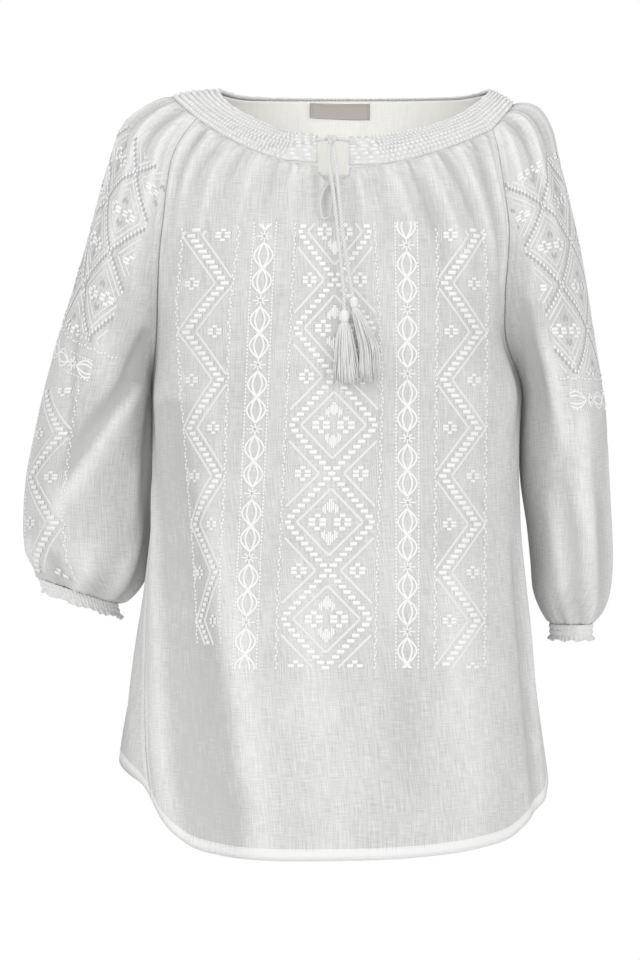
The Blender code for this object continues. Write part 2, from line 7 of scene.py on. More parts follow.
import bpy
import numpy as np
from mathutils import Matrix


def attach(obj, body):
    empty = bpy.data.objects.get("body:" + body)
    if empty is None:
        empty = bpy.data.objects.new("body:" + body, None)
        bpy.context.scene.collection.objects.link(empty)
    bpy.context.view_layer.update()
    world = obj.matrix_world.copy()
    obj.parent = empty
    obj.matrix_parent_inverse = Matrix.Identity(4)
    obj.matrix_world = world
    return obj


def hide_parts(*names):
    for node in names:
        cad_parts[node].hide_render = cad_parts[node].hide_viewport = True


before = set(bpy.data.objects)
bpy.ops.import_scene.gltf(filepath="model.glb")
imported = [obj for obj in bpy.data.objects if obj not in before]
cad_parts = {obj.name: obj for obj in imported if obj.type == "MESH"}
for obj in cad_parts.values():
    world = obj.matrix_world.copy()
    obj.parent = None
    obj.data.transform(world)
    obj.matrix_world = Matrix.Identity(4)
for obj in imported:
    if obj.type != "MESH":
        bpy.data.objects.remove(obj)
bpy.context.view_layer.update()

# ---------------------------------------------------------------------------------------------
# Studio: the blouse hangs in a white space over a pale floor, with a broad light on the left, a
# fill on the right, soft lights in front and above, and a weak one inside the neck.
world = bpy.data.worlds.new("studio")
bpy.context.scene.world = world
world.use_nodes = True
backdrop = world.node_tree.nodes["Background"]
backdrop.inputs["Color"].default_value = (1.0, 1.0, 1.0, 1.0)
seen = world.node_tree.nodes.new("ShaderNodeLightPath")
strength = world.node_tree.nodes.new("ShaderNodeMapRange")
strength.inputs["To Min"].default_value = 0.60
strength.inputs["To Max"].default_value = 1.0
world.node_tree.links.new(seen.outputs["Is Camera Ray"], strength.inputs["Value"])
world.node_tree.links.new(strength.outputs["Result"], backdrop.inputs["Strength"])

bpy.context.scene.view_settings.view_transform = "Standard"
bpy.context.scene.view_settings.look = "None"

lens = bpy.data.cameras.new("camera")
lens.sensor_width = 36.0
lens.lens = 164.2
lens.clip_end = 30.0
camera = bpy.data.objects.new("camera", lens)
camera.location = (-0.0137, -4.0, -0.354)
camera.rotation_euler = (np.pi / 2, 0.0, 0.0)
bpy.context.scene.collection.objects.link(camera)
bpy.context.scene.camera = camera

for name, place, turn, size, power in (
    ("key", (-2.1, -1.6, 0.9), (1.16, 0.0, -0.92), 0.9, 18.0),
    ("fill", (2.3, -2.0, 0.2), (1.40, 0.0, 0.85), 1.4, 19.0),
    ("front", (0.1, -3.6, -0.75), (1.68, 0.0, 0.03), 1.2, 26.0),
    ("top", (0.0, -0.6, 2.0), (0.26, 0.0, 0.0), 1.2, 6.0),
    ("inside", (0.012, -0.04, -0.12), (1.85, 0.0, 0.0), 0.11, 0.17),
):
    lamp = bpy.data.lights.new(name, "AREA")
    lamp.size = size
    lamp.energy = power
    made = bpy.data.objects.new(name, lamp)
    made.location = place
    made.rotation_euler = turn
    made.visible_camera = False
    bpy.context.scene.collection.objects.link(made)

floor_mesh = bpy.data.meshes.new("floor")
floor_mesh.from_pydata([(-1.3, -1.3, -1.02), (1.3, -1.3, -1.02), (1.3, 1.3, -1.02), (-1.3, 1.3, -1.02)], [],
                       [(0, 1, 2, 3)])
floor = bpy.data.objects.new("floor", floor_mesh)
bpy.context.scene.collection.objects.link(floor)
pale = bpy.data.materials.new("floor_paint")
pale.use_nodes = True
pale.node_tree.nodes["Principled BSDF"].inputs["Base Color"].default_value = (0.85, 0.85, 0.85, 1.0)
pale.node_tree.nodes["Principled BSDF"].inputs["Roughness"].default_value = 0.9
floor_mesh.materials.append(pale)

# ---------------------------------------------------------------------------------------------
# Front panel: one piece of light slubbed linen, gathered along its upper edge into the neckband,
# with a keyhole slit at the middle, raglan edges to the underarm and a curved hem turned up once.
MM = 0.001
RING = np.arange(9.0)
YOKE_SHARE = 0.40
UNDERARM_Z = -267.0
BODY_FULLNESS = 0.82
SLIT_LEFT, SLIT_RIGHT, SLIT_FOOT = -16.0, 12.0, -89.0
SLIT_ANGLE = 13.0
LINEN_WALL = 0.6
HEM_WALL = 1.1
HEM_TURN = 0.0105
LINEN_THIN = (0.56, 0.56, 0.55)
LINEN_THICK = (0.88, 0.88, 0.87)

FRONT_MIDDLE = {
    "x": (-2, -1, 0, 1, 1, 2, 2, 2, 2),
    "y": (-111, -116, -120, -124, -127, -129, -130, -131, -131),
    "z": (-76, -93, -112, -134, -157, -182, -210, -239, -267),
}
BACK_MIDDLE = {
    "x": (16, 12, 9, 6, 4, 3, 2, 2, 2),
    "y": (90, 100, 108, 113, 117, 120, 122, 122, 122),
    "z": (-36, -56, -78, -103, -131, -162, -194, -230, -267),
}
RAGLAN_RIGHT = {
    "front_x": (142, 146, 149, 153, 156, 155, 153, 155, 172),
    "front_z": (-38, -54, -74, -101, -129, -158, -190, -228, -267),
    "back_x": (146, 150, 153, 156, 158, 158, 158, 160, 172),
    "back_z": (-26, -44, -66, -92, -122, -155, -190, -228, -267),
    "top_x": (163, 184, 197, 205, 214, 223, 231, 238, 245),
    "top_z": (-11, -15, -34, -66, -103, -142, -183, -225, -267),
    "middle_y": (-3, -2, -1, 1, 3, 5, 7, 9, 10),
    "half_depth": (60, 62, 66, 72, 77, 79, 79, 77, 74),
    "half_angle": (60, 75, 90, 100, 108, 118, 130, 149, 180),
}
RAGLAN_LEFT = {
    "front_x": (-125, -136, -146, -151, -154, -158, -160, -162, -168),
    "front_z": (-28, -43, -63, -89, -117, -150, -188, -228, -267),
    "back_x": (-136, -144, -150, -154, -157, -160, -162, -163, -168),
    "back_z": (-20, -38, -60, -88, -118, -152, -190, -228, -267),
    "top_x": (-149, -172, -193, -205, -216, -227, -240, -253, -265),
    "top_z": (-4, -13, -30, -60, -98, -139, -183, -225, -267),
    "middle_y": (-3, -2, -1, 1, 3, 5, 7, 9, 10),
    "half_depth": (60, 62, 66, 72, 77, 78, 77, 74, 70),
    "half_angle": (60, 75, 90, 100, 108, 118, 130, 149, 180),
}
BODY = {
    "z": (-700, -650, -600, -550, -500, -450, -400, -350, -300, -267),
    "left_x": (-203, -201, -197, -190, -182, -174, -168, -167, -167, -168),
    "right_x": (201, 198, 191, 184, 179, 173, 168, 168, 169, 172),
    "front_y": (-152, -149, -145, -141, -138, -136, -134, -133, -132, -131),
    "back_y": (149, 146, 141, 135, 129, 124, 121, 120, 121, 122),
    "left_seam": (52, 54, 59, 64, 70, 77, 84, 90, 92, 92.7),
    "right_seam": (76, 78, 81, 84, 86, 88, 90, 91, 92, 92.7),
}
HEM = {
    "angle": (-210, -180, -150, -120, -90, -68, -58, -50, -40, -30, -18, 0, 20, 40, 52, 60, 68, 78, 90, 120,
              150, 180, 210),
    "z": (-672, -684, -672, -640, -610, -618, -630, -655, -678, -686, -689, -689, -687, -680, -672, -660,
          -648, -634, -620, -640, -672, -684, -672),
}


def smooth(knots, values, at):
    """Cubic through the knots with slopes taken from their neighbours."""
    knots = np.asarray(knots, float)
    values = np.asarray(values, float)
    at = np.clip(np.asarray(at, float), knots[0], knots[-1])
    slope = np.gradient(values, knots)
    low = np.clip(np.searchsorted(knots, at, side="right") - 1, 0, len(knots) - 2)
    width = knots[low + 1] - knots[low]
    s = (at - knots[low]) / width
    rise = values[low + 1] - values[low]
    bend = (slope[low] * width - rise) * (1 - s) - (slope[low + 1] * width - rise) * s
    return values[low] + rise * s + s * (1 - s) * bend


def raglan_point(side, which, ring):
    """Point of the front or back raglan seam of one side."""
    turn = np.radians(smooth(RING, side["half_angle"], ring))
    reach = smooth(RING, side["half_depth"], ring) * np.sin(turn)
    middle = smooth(RING, side["middle_y"], ring)
    y = middle - reach if which == "front" else middle + reach
    return smooth(RING, side[which + "_x"], ring), y, smooth(RING, side[which + "_z"], ring)


def yoke_panel(u, ring, which):
    """Front or back above the underarm; u runs from the left side (0) to the right side (1)."""
    middle = FRONT_MIDDLE if which == "front" else BACK_MIDDLE
    left = raglan_point(RAGLAN_LEFT, which, ring)
    right = raglan_point(RAGLAN_RIGHT, which, ring)
    span = np.radians(smooth((0, 4, 8), (62, 72, 90), ring))
    full = smooth((0, 4, 8), (1.0, 0.95, BODY_FULLNESS), ring)
    across = np.sin((2 * u - 1) * span) / np.sin(span)
    least = np.clip(np.cos(span), 0, 1) ** full
    bulge = (np.clip(np.cos((2 * u - 1) * span), 0, 1) ** full - least) / (1 - least)
    out = []
    for axis, name in enumerate("xyz"):
        centre = smooth(RING, middle[name], ring)
        ends = (right[axis] + left[axis]) / 2
        lean = (right[axis] - left[axis]) / 2
        if name == "y":
            out.append(ends + lean * across + (centre - ends) * bulge)
        else:
            out.append(centre + lean * across + (ends - centre) * across**2)
    return np.stack(out, -1)


def body_panel(u, drop, which):
    """Front or back from the underarm (drop 0) to the hem (drop 1)."""
    z = UNDERARM_Z
    for _ in range(4):
        left = -smooth(BODY["z"], BODY["left_seam"], z)
        right = smooth(BODY["z"], BODY["right_seam"], z)
        if which == "back":
            left = left + 360
        angle = left + (right - left) * u
        wrapped = np.where(angle > 180, angle - 360, angle)
        z = UNDERARM_Z + (smooth(HEM["angle"], HEM["z"], wrapped) - UNDERARM_Z) * drop
    left_x = smooth(BODY["z"], BODY["left_x"], z)
    right_x = smooth(BODY["z"], BODY["right_x"], z)
    cosine = np.cos(np.radians(angle))
    depth = np.where(cosine > 0, smooth(BODY["z"], BODY["front_y"], z), smooth(BODY["z"], BODY["back_y"], z))
    x = (left_x + right_x) / 2 + (right_x - left_x) / 2 * np.sin(np.radians(angle))
    return np.stack([x, depth * np.abs(cosine) ** BODY_FULLNESS, z], -1)


def panel(u, v, which):
    """Front or back, u from left to right and v from the neckband (0) to the hem (1)."""
    upper = yoke_panel(u, np.clip(v / YOKE_SHARE, 0, 1) * 8, which)
    lower = body_panel(u, np.clip((v - YOKE_SHARE) / (1 - YOKE_SHARE), 0, 1), which)
    return np.where((v < YOKE_SHARE)[..., None], upper, lower)


def creases(u, v, table):
    """Sum of listed soft ridges and troughs: u at both ends, v at both ends, width in u, height."""
    lift = np.zeros(np.broadcast(u, v).shape)
    for top_u, low_u, top_v, low_v, width, height in table:
        along = np.clip((v - top_v) / (low_v - top_v), 0, 1)
        inside = (v > top_v) & (v < low_v)
        fade = np.where(inside, np.sin(np.pi * np.clip(along, 1e-6, 1) ** 0.6) ** 0.8, 0.0)
        lift += height * fade * np.exp(-(((u - top_u - (low_u - top_u) * along) / width) ** 2))
    return lift


def gathers(u, v, count, reach, height, seed, spread):
    """Small folds that start at a shirred edge and die out at uneven distances from it."""
    chance = np.random.RandomState(seed)
    lift = np.zeros(np.broadcast(u, v).shape)
    for number in range(count):
        start = (number + 0.5 + 0.6 * (chance.rand() - 0.5)) / count
        length = reach * (0.35 + 1.3 * chance.rand() ** 2)
        deep = height * (0.45 + 0.9 * chance.rand())
        width = (0.27 + 0.12 * chance.rand()) / count
        along = np.clip(v / length, 0, 1)
        centre = start + spread * (start - 0.5) * along
        broad = width * (1 + 1.5 * along)
        lift += deep * (1 - along) ** 1.3 * np.exp(-(((u - centre) / broad) ** 2))
    return lift * np.clip(v / (0.12 * reach), 0.35, 1) - 0.3 * height * np.clip(1 - v / reach, 0, 1) ** 1.3


def softness(u, v, height, seed):
    """Slow unevenness of cloth that hangs free."""
    chance = np.random.RandomState(seed)
    lift = np.zeros(np.broadcast(u, v).shape)
    for _ in range(14):
        across = 2 + 9 * chance.rand()
        down = 0.5 + 3.5 * chance.rand()
        lift += np.sin(2 * np.pi * (across * u + down * v + chance.rand())) * (1 - 0.05 * across)
    return lift * height / 6


class Cloth:
    """A sheet of cloth held as a grid of points, rows down and columns across, with outward normals."""

    def __init__(self, points, u, v, inside, fold=0.0):
        self.fold = fold + np.zeros(points.shape[:2])
        self.u = u
        self.v = v
        self.points = points
        across = np.gradient(points, axis=1)
        down = np.gradient(points, axis=0)
        normal = np.cross(down, across)
        self.normals = normal / np.maximum(np.linalg.norm(normal, axis=2, keepdims=True), 1e-9)
        if np.sum((points - np.asarray(inside)) * self.normals) < 0:
            self.normals = -self.normals
        self.inside = inside

    def lifted(self, lift):
        return Cloth(self.points + self.normals * lift[..., None], self.u, self.v, self.inside, lift)

    def eased(self, row, reach):
        """Softens the change of direction across one row, away from the sheet's side edges."""
        points = self.points.copy()
        for _ in range(reach * 3):
            middle = (points[:-2] + points[2:] + 2 * points[1:-1]) / 4
            near = np.clip(1 - np.abs(np.arange(1, len(points) - 1) - row) / reach, 0, 1)
            edge = np.clip(np.minimum(self.u, 1 - self.u) / 0.04, 0, 1)
            weight = (near[:, None] * edge[None, :])[..., None]
            points[1:-1] += (middle - points[1:-1]) * weight
        return Cloth(points, self.u, self.v, self.inside)

    def place(self, u, v, lift=0.0):
        """Points on the cloth at u and v, moved out along its normals."""
        column = np.clip(np.interp(u, self.u, np.arange(len(self.u))), 0, len(self.u) - 1.001)
        row = np.clip(np.interp(v, self.v, np.arange(len(self.v))), 0, len(self.v) - 1.001)
        left = column.astype(int)
        top = row.astype(int)
        a = (column - left)[..., None]
        b = (row - top)[..., None]
        out = []
        for grid in (self.points, self.normals):
            out.append((grid[top, left] * (1 - a) + grid[top, left + 1] * a) * (1 - b)
                       + (grid[top + 1, left] * (1 - a) + grid[top + 1, left + 1] * a) * b)
        return out[0] + out[1] * np.asarray(lift)[..., None]

    def find(self, x, z):
        """u and v of the points of the front or back that show at x and z."""
        u = np.full(np.shape(x), 0.5)
        v = np.full(np.shape(x), 0.5)
        step = 0.004
        for _ in range(14):
            here = self.place(u, v)
            side = self.place(np.clip(u + step, 0, 1), v) - here
            down = self.place(u, np.clip(v + step, 0, 1)) - here
            miss_x = x - here[..., 0]
            miss_z = z - here[..., 2]
            size = side[..., 0] * down[..., 2] - side[..., 2] * down[..., 0]
            size = np.where(np.abs(size) < 1e-3, 1e-3, size)
            move_u = (miss_x * down[..., 2] - miss_z * down[..., 0]) / size * step
            move_v = (side[..., 0] * miss_z - side[..., 2] * miss_x) / size * step
            u = np.clip(u + np.clip(move_u, -0.1, 0.1), 0.002, 0.995)
            v = np.clip(v + np.clip(move_v, -0.1, 0.1), 0.002, 0.995)
        return u, v

    def lengths(self):
        """Distance of each point from the middle column, along its row, and down the middle column."""
        step = np.linalg.norm(np.diff(self.points, axis=1), axis=2)
        across = np.concatenate([np.zeros((len(self.v), 1)), np.cumsum(step, axis=1)], axis=1)
        middle = len(self.u) // 2
        fall = np.linalg.norm(np.diff(self.points[:, middle], axis=0), axis=1)
        return across - across[:, middle:middle + 1], np.concatenate([[0.0], np.cumsum(fall)])

    def find_by_length(self, s, h):
        """u and v of the points at s along the row from the middle and h down the middle."""
        across, down = self.lengths()
        v = np.interp(h, down, self.v)
        row = np.clip(np.interp(v, self.v, np.arange(len(self.v))), 0, len(self.v) - 1.001)
        top = row.astype(int)
        part = (row - top)[:, None]
        u = np.zeros(len(s))
        for start in range(0, len(s), 2000):
            piece = slice(start, start + 2000)
            arcs = across[top[piece]] * (1 - part[piece]) + across[top[piece] + 1] * part[piece]
            place = np.clip(np.sum(arcs < s[piece, None], axis=1) - 1, 0, len(self.u) - 2)
            number = np.arange(len(place))
            low = arcs[number, place]
            high = arcs[number, place + 1]
            share = np.clip((s[piece] - low) / np.maximum(high - low, 1e-6), 0, 1)
            u[piece] = self.u[place] * (1 - share) + self.u[place + 1] * share
        return u, v

    def build(self, name, wall, look, gone=None, level=False):
        """Closed thin wall of the sheet, with the weave laid in metres across and down, level or along it."""
        rows, columns = self.points.shape[:2]
        count = rows * columns
        inner = self.points - self.normals * np.asarray(wall).reshape(-1, 1, 1)
        points = np.vstack([self.points.reshape(-1, 3), inner.reshape(-1, 3)]) * MM
        index = np.arange(count).reshape(rows, columns)
        quads = np.stack([index[:-1, :-1], index[1:, :-1], index[1:, 1:], index[:-1, 1:]], -1).reshape(-1, 4)
        if gone is not None:
            quads = quads[~gone[:-1, :-1].reshape(-1)]
        seen = np.cross(points[quads[:, 2]] - points[quads[:, 0]], points[quads[:, 3]] - points[quads[:, 1]])
        if np.sum(seen * self.normals.reshape(-1, 3)[quads[:, 0]]) < 0:
            quads = quads[:, ::-1]
        edges = np.concatenate([quads[:, [0, 1]], quads[:, [1, 2]], quads[:, [2, 3]], quads[:, [3, 0]]])
        there = edges[:, 0] * count + edges[:, 1]
        back = edges[:, 1] * count + edges[:, 0]
        rim = edges[~np.isin(there, back)]
        sides = np.stack([rim[:, 1], rim[:, 0], rim[:, 0] + count, rim[:, 1] + count], -1)
        faces = np.vstack([quads, quads[:, ::-1] + count, sides])
        mesh = bpy.data.meshes.new(name)
        mesh.from_pydata(points.tolist(), [], faces.tolist())
        across, fall = self.lengths()
        down = self.points[..., 2] if level else np.repeat(fall[:, None], columns, axis=1)
        flat = np.tile(np.stack([across, down], -1).reshape(-1, 2) * MM, (2, 1))
        layer = mesh.uv_layers.new(name="cloth")
        corner = np.zeros(len(mesh.loops), dtype=np.int32)
        mesh.loops.foreach_get("vertex_index", corner)
        layer.data.foreach_set("uv", flat[corner].reshape(-1))
        left = across - across[:, :1]
        column = np.cumsum(np.linalg.norm(np.diff(self.points, axis=0), axis=2)[::-1], axis=0)[::-1]
        # The fold height is kept for the materials, which paint light and shade on the folds with it.
        for label, values in (
            ("edge", np.minimum(left, left[:, -1:] - left) * MM),
            ("hem", np.concatenate([column, np.zeros((1, columns))], axis=0) * MM),
            ("fold", np.clip(self.fold / 2.5, -1, 1)),
        ):
            kept = mesh.attributes.new(label, "FLOAT", "POINT")
            kept.data.foreach_set("value", np.tile(values.reshape(-1), 2))
        return finished(name, mesh, look)


def finished(name, mesh, look):
    """Object of a mesh, shaded smooth, with its material."""
    mesh.polygons.foreach_set("use_smooth", [True] * len(mesh.polygons))
    mesh.materials.append(look)
    made = bpy.data.objects.new(name, mesh)
    bpy.context.scene.collection.objects.link(made)
    return made


class Wire:
    """A shader socket that adds, multiplies and compares like a number."""

    def __init__(self, tree, socket=None):
        self.tree = tree
        self.socket = socket

    def node(self, kind, settings, inputs, output=0):
        """Any node, by its type, settings and inputs."""
        made = self.tree.nodes.new(kind)
        for name, value in settings.items():
            setattr(made, name, value)
        for name, value in inputs.items():
            if isinstance(value, Wire):
                self.tree.links.new(value.socket, made.inputs[name])
            else:
                made.inputs[name].default_value = value
        return Wire(self.tree, made.outputs[output])

    def maths(self, operation, first, second=0.0):
        return self.node("ShaderNodeMath", {"operation": operation}, {0: first, 1: second})

    def __add__(self, other):
        return self.maths("ADD", self, other)

    def __radd__(self, other):
        return self.maths("ADD", other, self)

    def __sub__(self, other):
        return self.maths("SUBTRACT", self, other)

    def __rsub__(self, other):
        return self.maths("SUBTRACT", other, self)

    def __mul__(self, other):
        return self.maths("MULTIPLY", self, other)

    def __rmul__(self, other):
        return self.maths("MULTIPLY", other, self)

    def __truediv__(self, other):
        return self.maths("DIVIDE", self, other)

    def __lt__(self, other):
        return self.maths("LESS_THAN", self, other)

    def __gt__(self, other):
        return self.maths("GREATER_THAN", self, other)

    def __pow__(self, other):
        return self.maths("POWER", self, other)

    def sine(self):
        return self.maths("SINE", self)

    def clamped(self):
        return self.node("ShaderNodeClamp", {}, {"Value": self})

    def blend(self, low, high):
        """Colour between two colours by this factor."""
        return self.node("ShaderNodeMix", {"data_type": "RGBA"}, {0: self, 6: low, 7: high}, 2)


def new_material(name):
    made = bpy.data.materials.new(name)
    made.use_nodes = True
    return made, Wire(made.node_tree), made.node_tree.nodes["Principled BSDF"]


def linen(name, thin, thick, hem=0.0, seams=False, sheen=0.15, painted_fold_shade=0.30):
    """Plain weave of uneven yarn. thin is the colour of one layer and thick of several; the fold height also
    paints light on ridges and shade in troughs.
    """
    made, wire, surface = new_material(name)
    flat = wire.node("ShaderNodeUVMap", {"uv_map": "cloth"}, {})
    x = wire.node("ShaderNodeSeparateXYZ", {}, {"Vector": flat}, 0)
    y = wire.node("ShaderNodeSeparateXYZ", {}, {"Vector": flat}, 1)

    def streaks(across, down, detail):
        stretched = wire.node("ShaderNodeCombineXYZ", {}, {"X": x * across, "Y": y * down})
        return wire.node("ShaderNodeTexNoise", {"noise_dimensions": "2D"},
                         {"Vector": stretched, "Scale": 1.0, "Detail": detail, "Roughness": 0.55})

    weft = streaks(70.0, 1300.0, 2.0)
    warp = streaks(1300.0, 60.0, 2.0)
    slub = streaks(900.0, 26.0, 1.0)
    cloud = streaks(16.0, 12.0, 3.0)
    fold = wire.node("ShaderNodeAttribute", {"attribute_name": "fold"}, {}, 2)
    tone = (weft - 0.5) * 0.75 + (warp - 0.5) * 0.85 + (slub - 0.5) * 0.5 + (cloud - 0.5) * 0.4 + 0.34
    # Painted light and shade: the fold height lightens the ridges and darkens the troughs of the folds.
    tone = tone + fold * painted_fold_shade
    if hem:
        up = wire.node("ShaderNodeAttribute", {"attribute_name": "hem"}, {}, 2)
        doubled = up < hem
        dash = ((x * 2400.0).sine() > -0.3) * (up > hem - 0.0016) * (up < hem - 0.0004)
        tone = tone + doubled * 0.8 - dash * 0.35
    if seams:
        edge = wire.node("ShaderNodeAttribute", {"attribute_name": "edge"}, {}, 2)
        tone = tone + (edge < 0.007) * 0.25
    colour = tone.clamped().blend((*thin, 1.0), (*thick, 1.0))
    wire.tree.links.new(colour.socket, surface.inputs["Base Color"])
    yarn = ((x * 9500.0).sine() * (y * 9000.0).sine()) * 0.35 + weft + warp + slub * 0.8
    bump = wire.node("ShaderNodeBump", {}, {"Strength": 0.35, "Distance": 0.0004, "Height": yarn})
    wire.tree.links.new(bump.socket, surface.inputs["Normal"])
    surface.inputs["Roughness"].default_value = 0.88
    surface.inputs["Specular IOR Level"].default_value = 0.25
    surface.inputs["Sheen Weight"].default_value = sheen
    surface.inputs["Sheen Roughness"].default_value = 0.5
    return made


# Main creases of the front: u and v at both ends, width in u, height in millimetres.
FRONT_CREASES = (
    (0.035, 0.020, 0.00, 0.24, 0.014, 3.4), (0.075, 0.045, 0.00, 0.20, 0.010, -2.6),
    (0.110, 0.075, 0.00, 0.22, 0.012, 3.0), (0.150, 0.110, 0.00, 0.17, 0.010, -2.4),
    (0.190, 0.150, 0.00, 0.24, 0.013, 2.6), (0.240, 0.205, 0.00, 0.15, 0.010, -2.2),
    (0.285, 0.260, 0.00, 0.21, 0.012, 2.2), (0.345, 0.325, 0.00, 0.16, 0.010, -2.0),
    (0.400, 0.390, 0.00, 0.20, 0.011, 1.8), (0.455, 0.450, 0.00, 0.13, 0.009, -1.8),
    (0.560, 0.568, 0.00, 0.15, 0.010, 1.8), (0.610, 0.630, 0.00, 0.19, 0.011, -2.0),
    (0.655, 0.690, 0.00, 0.22, 0.012, 2.4), (0.700, 0.760, 0.00, 0.25, 0.014, -3.8),
    (0.745, 0.815, 0.00, 0.27, 0.015, 3.2), (0.800, 0.870, 0.00, 0.22, 0.012, -3.0),
    (0.850, 0.915, 0.00, 0.27, 0.014, 3.2), (0.905, 0.950, 0.00, 0.30, 0.012, -3.6),
    (0.950, 0.975, 0.00, 0.33, 0.012, 3.4),
    (0.150, 0.165, 0.42, 1.25, 0.060, -9.0), (0.255, 0.262, 0.52, 1.15, 0.035, 3.5),
    (0.045, 0.050, 0.55, 1.15, 0.030, 4.0), (0.900, 0.905, 0.62, 1.15, 0.022, -3.6),
    (0.955, 0.950, 0.55, 1.10, 0.022, 3.0), (0.700, 0.690, 0.62, 1.10, 0.050, 1.6),
    (0.560, 0.575, 0.70, 1.10, 0.040, -1.4), (0.410, 0.400, 0.66, 1.10, 0.045, 1.5),
    (0.985, 0.900, 0.33, 0.52, 0.030, -2.6), (0.015, 0.060, 0.36, 0.56, 0.020, -2.4),
)
u = np.linspace(0.0006, 0.9994, 250)
v = np.concatenate([np.linspace(0, 0.12, 46), np.linspace(0.126, 0.42, 52), np.linspace(0.428, 1.0, 74)])
grid_u, grid_v = np.meshgrid(u, v)
calm = np.clip(np.minimum(grid_u, 1 - grid_u) / 0.025, 0, 1)
front_base = Cloth(panel(grid_u, grid_v, "front"), u, v, (0, 0, -300))
front_base = front_base.eased(np.searchsorted(v, YOKE_SHARE), 9)
front_cloth = front_base.lifted(calm * (
    creases(grid_u, grid_v, FRONT_CREASES)
    + gathers(grid_u, grid_v, 58, 0.095, 2.9, 11, 0.10)
    + softness(grid_u, grid_v, 0.7, 3) * np.clip(grid_v / 0.2, 0, 1)))
middle_of_slit = (SLIT_LEFT + SLIT_RIGHT) / 2
depth_of_slit = np.clip((front_cloth.points[..., 2] - SLIT_FOOT) / 9.0, 0, 1)
half_of_slit = (SLIT_RIGHT - SLIT_LEFT) / 2 * depth_of_slit ** 0.35
slit_cut = (np.abs(front_cloth.points[..., 0] - middle_of_slit) < half_of_slit) & (grid_v < 0.06)
front_look = linen("linen_front", LINEN_THIN, LINEN_THICK, hem=HEM_TURN, seams=True)
front = front_cloth.build("front_linen", np.where(v > 0.985, HEM_WALL, LINEN_WALL), front_look,
                          gone=slit_cut, level=True)
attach(front, "root")
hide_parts("front_panel")

# ---------------------------------------------------------------------------------------------
# Back panel: cut like the front without the slit, gathered into the neckband and hemmed the same way.
BACK_CREASES = (
    (0.05, 0.03, 0.00, 0.26, 0.014, 3.0), (0.12, 0.09, 0.00, 0.20, 0.012, -2.6),
    (0.20, 0.16, 0.00, 0.26, 0.014, 2.6), (0.28, 0.25, 0.00, 0.17, 0.012, -2.2),
    (0.36, 0.33, 0.00, 0.24, 0.013, 2.2), (0.45, 0.44, 0.00, 0.19, 0.012, -2.2),
    (0.52, 0.52, 0.00, 0.25, 0.014, 2.4), (0.60, 0.62, 0.00, 0.18, 0.012, -2.2),
    (0.68, 0.72, 0.00, 0.27, 0.014, 2.6), (0.77, 0.81, 0.00, 0.20, 0.012, -2.4),
    (0.85, 0.89, 0.00, 0.25, 0.014, 2.8), (0.93, 0.96, 0.00, 0.24, 0.012, -2.8),
    (0.24, 0.21, 0.45, 1.20, 0.045, 5.0), (0.36, 0.35, 0.55, 1.20, 0.040, -4.2),
    (0.50, 0.51, 0.48, 1.20, 0.040, 4.2), (0.64, 0.66, 0.58, 1.20, 0.040, -4.4),
    (0.78, 0.80, 0.45, 1.20, 0.045, 4.6), (0.12, 0.12, 0.60, 1.15, 0.030, -3.0),
    (0.90, 0.89, 0.55, 1.15, 0.030, -3.0),
)
u = np.linspace(0.0006, 0.9994, 190)
v = np.concatenate([np.linspace(0, 0.12, 34), np.linspace(0.13, 0.42, 38), np.linspace(0.432, 1.0, 54)])
grid_u, grid_v = np.meshgrid(u, v)
calm = np.clip(np.minimum(grid_u, 1 - grid_u) / 0.025, 0, 1)
back_base = Cloth(panel(grid_u, grid_v, "back"), u, v, (0, 0, -300))
back_base = back_base.eased(np.searchsorted(v, YOKE_SHARE), 7)
back_cloth = back_base.lifted(calm * (
    creases(grid_u, grid_v, BACK_CREASES)
    + gathers(grid_u, grid_v, 46, 0.10, 2.0, 12, 0.08)
    + softness(grid_u, grid_v, 0.9, 4) * np.clip(grid_v / 0.2, 0, 1)))
back_look = linen("linen_back", LINEN_THIN, LINEN_THICK, hem=HEM_TURN, seams=True)
back = back_cloth.build("back_linen", np.where(v > 0.985, HEM_WALL, LINEN_WALL), back_look, level=True)
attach(back, "root")
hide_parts("back_panel")

# ---------------------------------------------------------------------------------------------
# Sleeves: one raglan piece each, gathered at the neck and again at the cuff, sewn to the front and
# back down to the underarm and closed into a tube below it. Soft folds fall down the outer side.
SLEEVE_RIGHT = {
    "z": (-267, -300, -350, -396, -428, -455, -474, -486),
    "x": (209.0, 209.6, 210.8, 215.2, 217.4, 217.5, 218.0, 217.8),
    "y": (10, 20, 31, 35, 37, 37, 37, 37),
    "half_width": (36.1, 40.0, 40.6, 38.4, 37.0, 34.6, 28.5, 19.5),
    "half_depth": (74, 75, 76, 76, 75, 71, 60, 47),
    "tilt": (0, 0, 0, 0, 0, 0, 0, 0),
}
SLEEVE_LEFT = {
    "z": (-267, -300, -350, -396, -424, -440, -452, -456),
    "x": (-216.7, -220.4, -224.5, -226.0, -227.5, -230.0, -234.5, -238.0),
    "y": (10, 25, 44, 53, 54, 54, 54, 54),
    "half_width": (48.6, 53.8, 60.5, 62.0, 58.5, 53.0, 45.0, 38.0),
    "half_depth": (70, 69, 68, 67, 65, 60, 47, 34),
    "tilt": (0, 0, 0, 0, 6, 13, 18, 18),
}


def sleeve_yoke(u, ring, side):
    """Sleeve above the underarm, from the front raglan (0) round the outside to the back raglan (1)."""
    s = 2 * u - 1
    half = np.radians(smooth(RING, side["half_angle"], ring))
    front_x, _, front_z = raglan_point(side, "front", ring)
    back_x, _, back_z = raglan_point(side, "back", ring)
    least = np.cos(half)
    reach = (np.cos(s * half) - least) / (1 - least)
    seam_x = front_x * (1 - u) + back_x * u
    x = seam_x + (smooth(RING, side["top_x"], ring) - seam_x) * reach
    y = smooth(RING, side["middle_y"], ring) + smooth(RING, side["half_depth"], ring) * np.sin(s * half)
    top = smooth(RING, side["top_z"], ring)
    z = top + (back_z - front_z) / 2 * s + ((back_z + front_z) / 2 - top) * s**2
    return np.stack([x, y, z], -1)


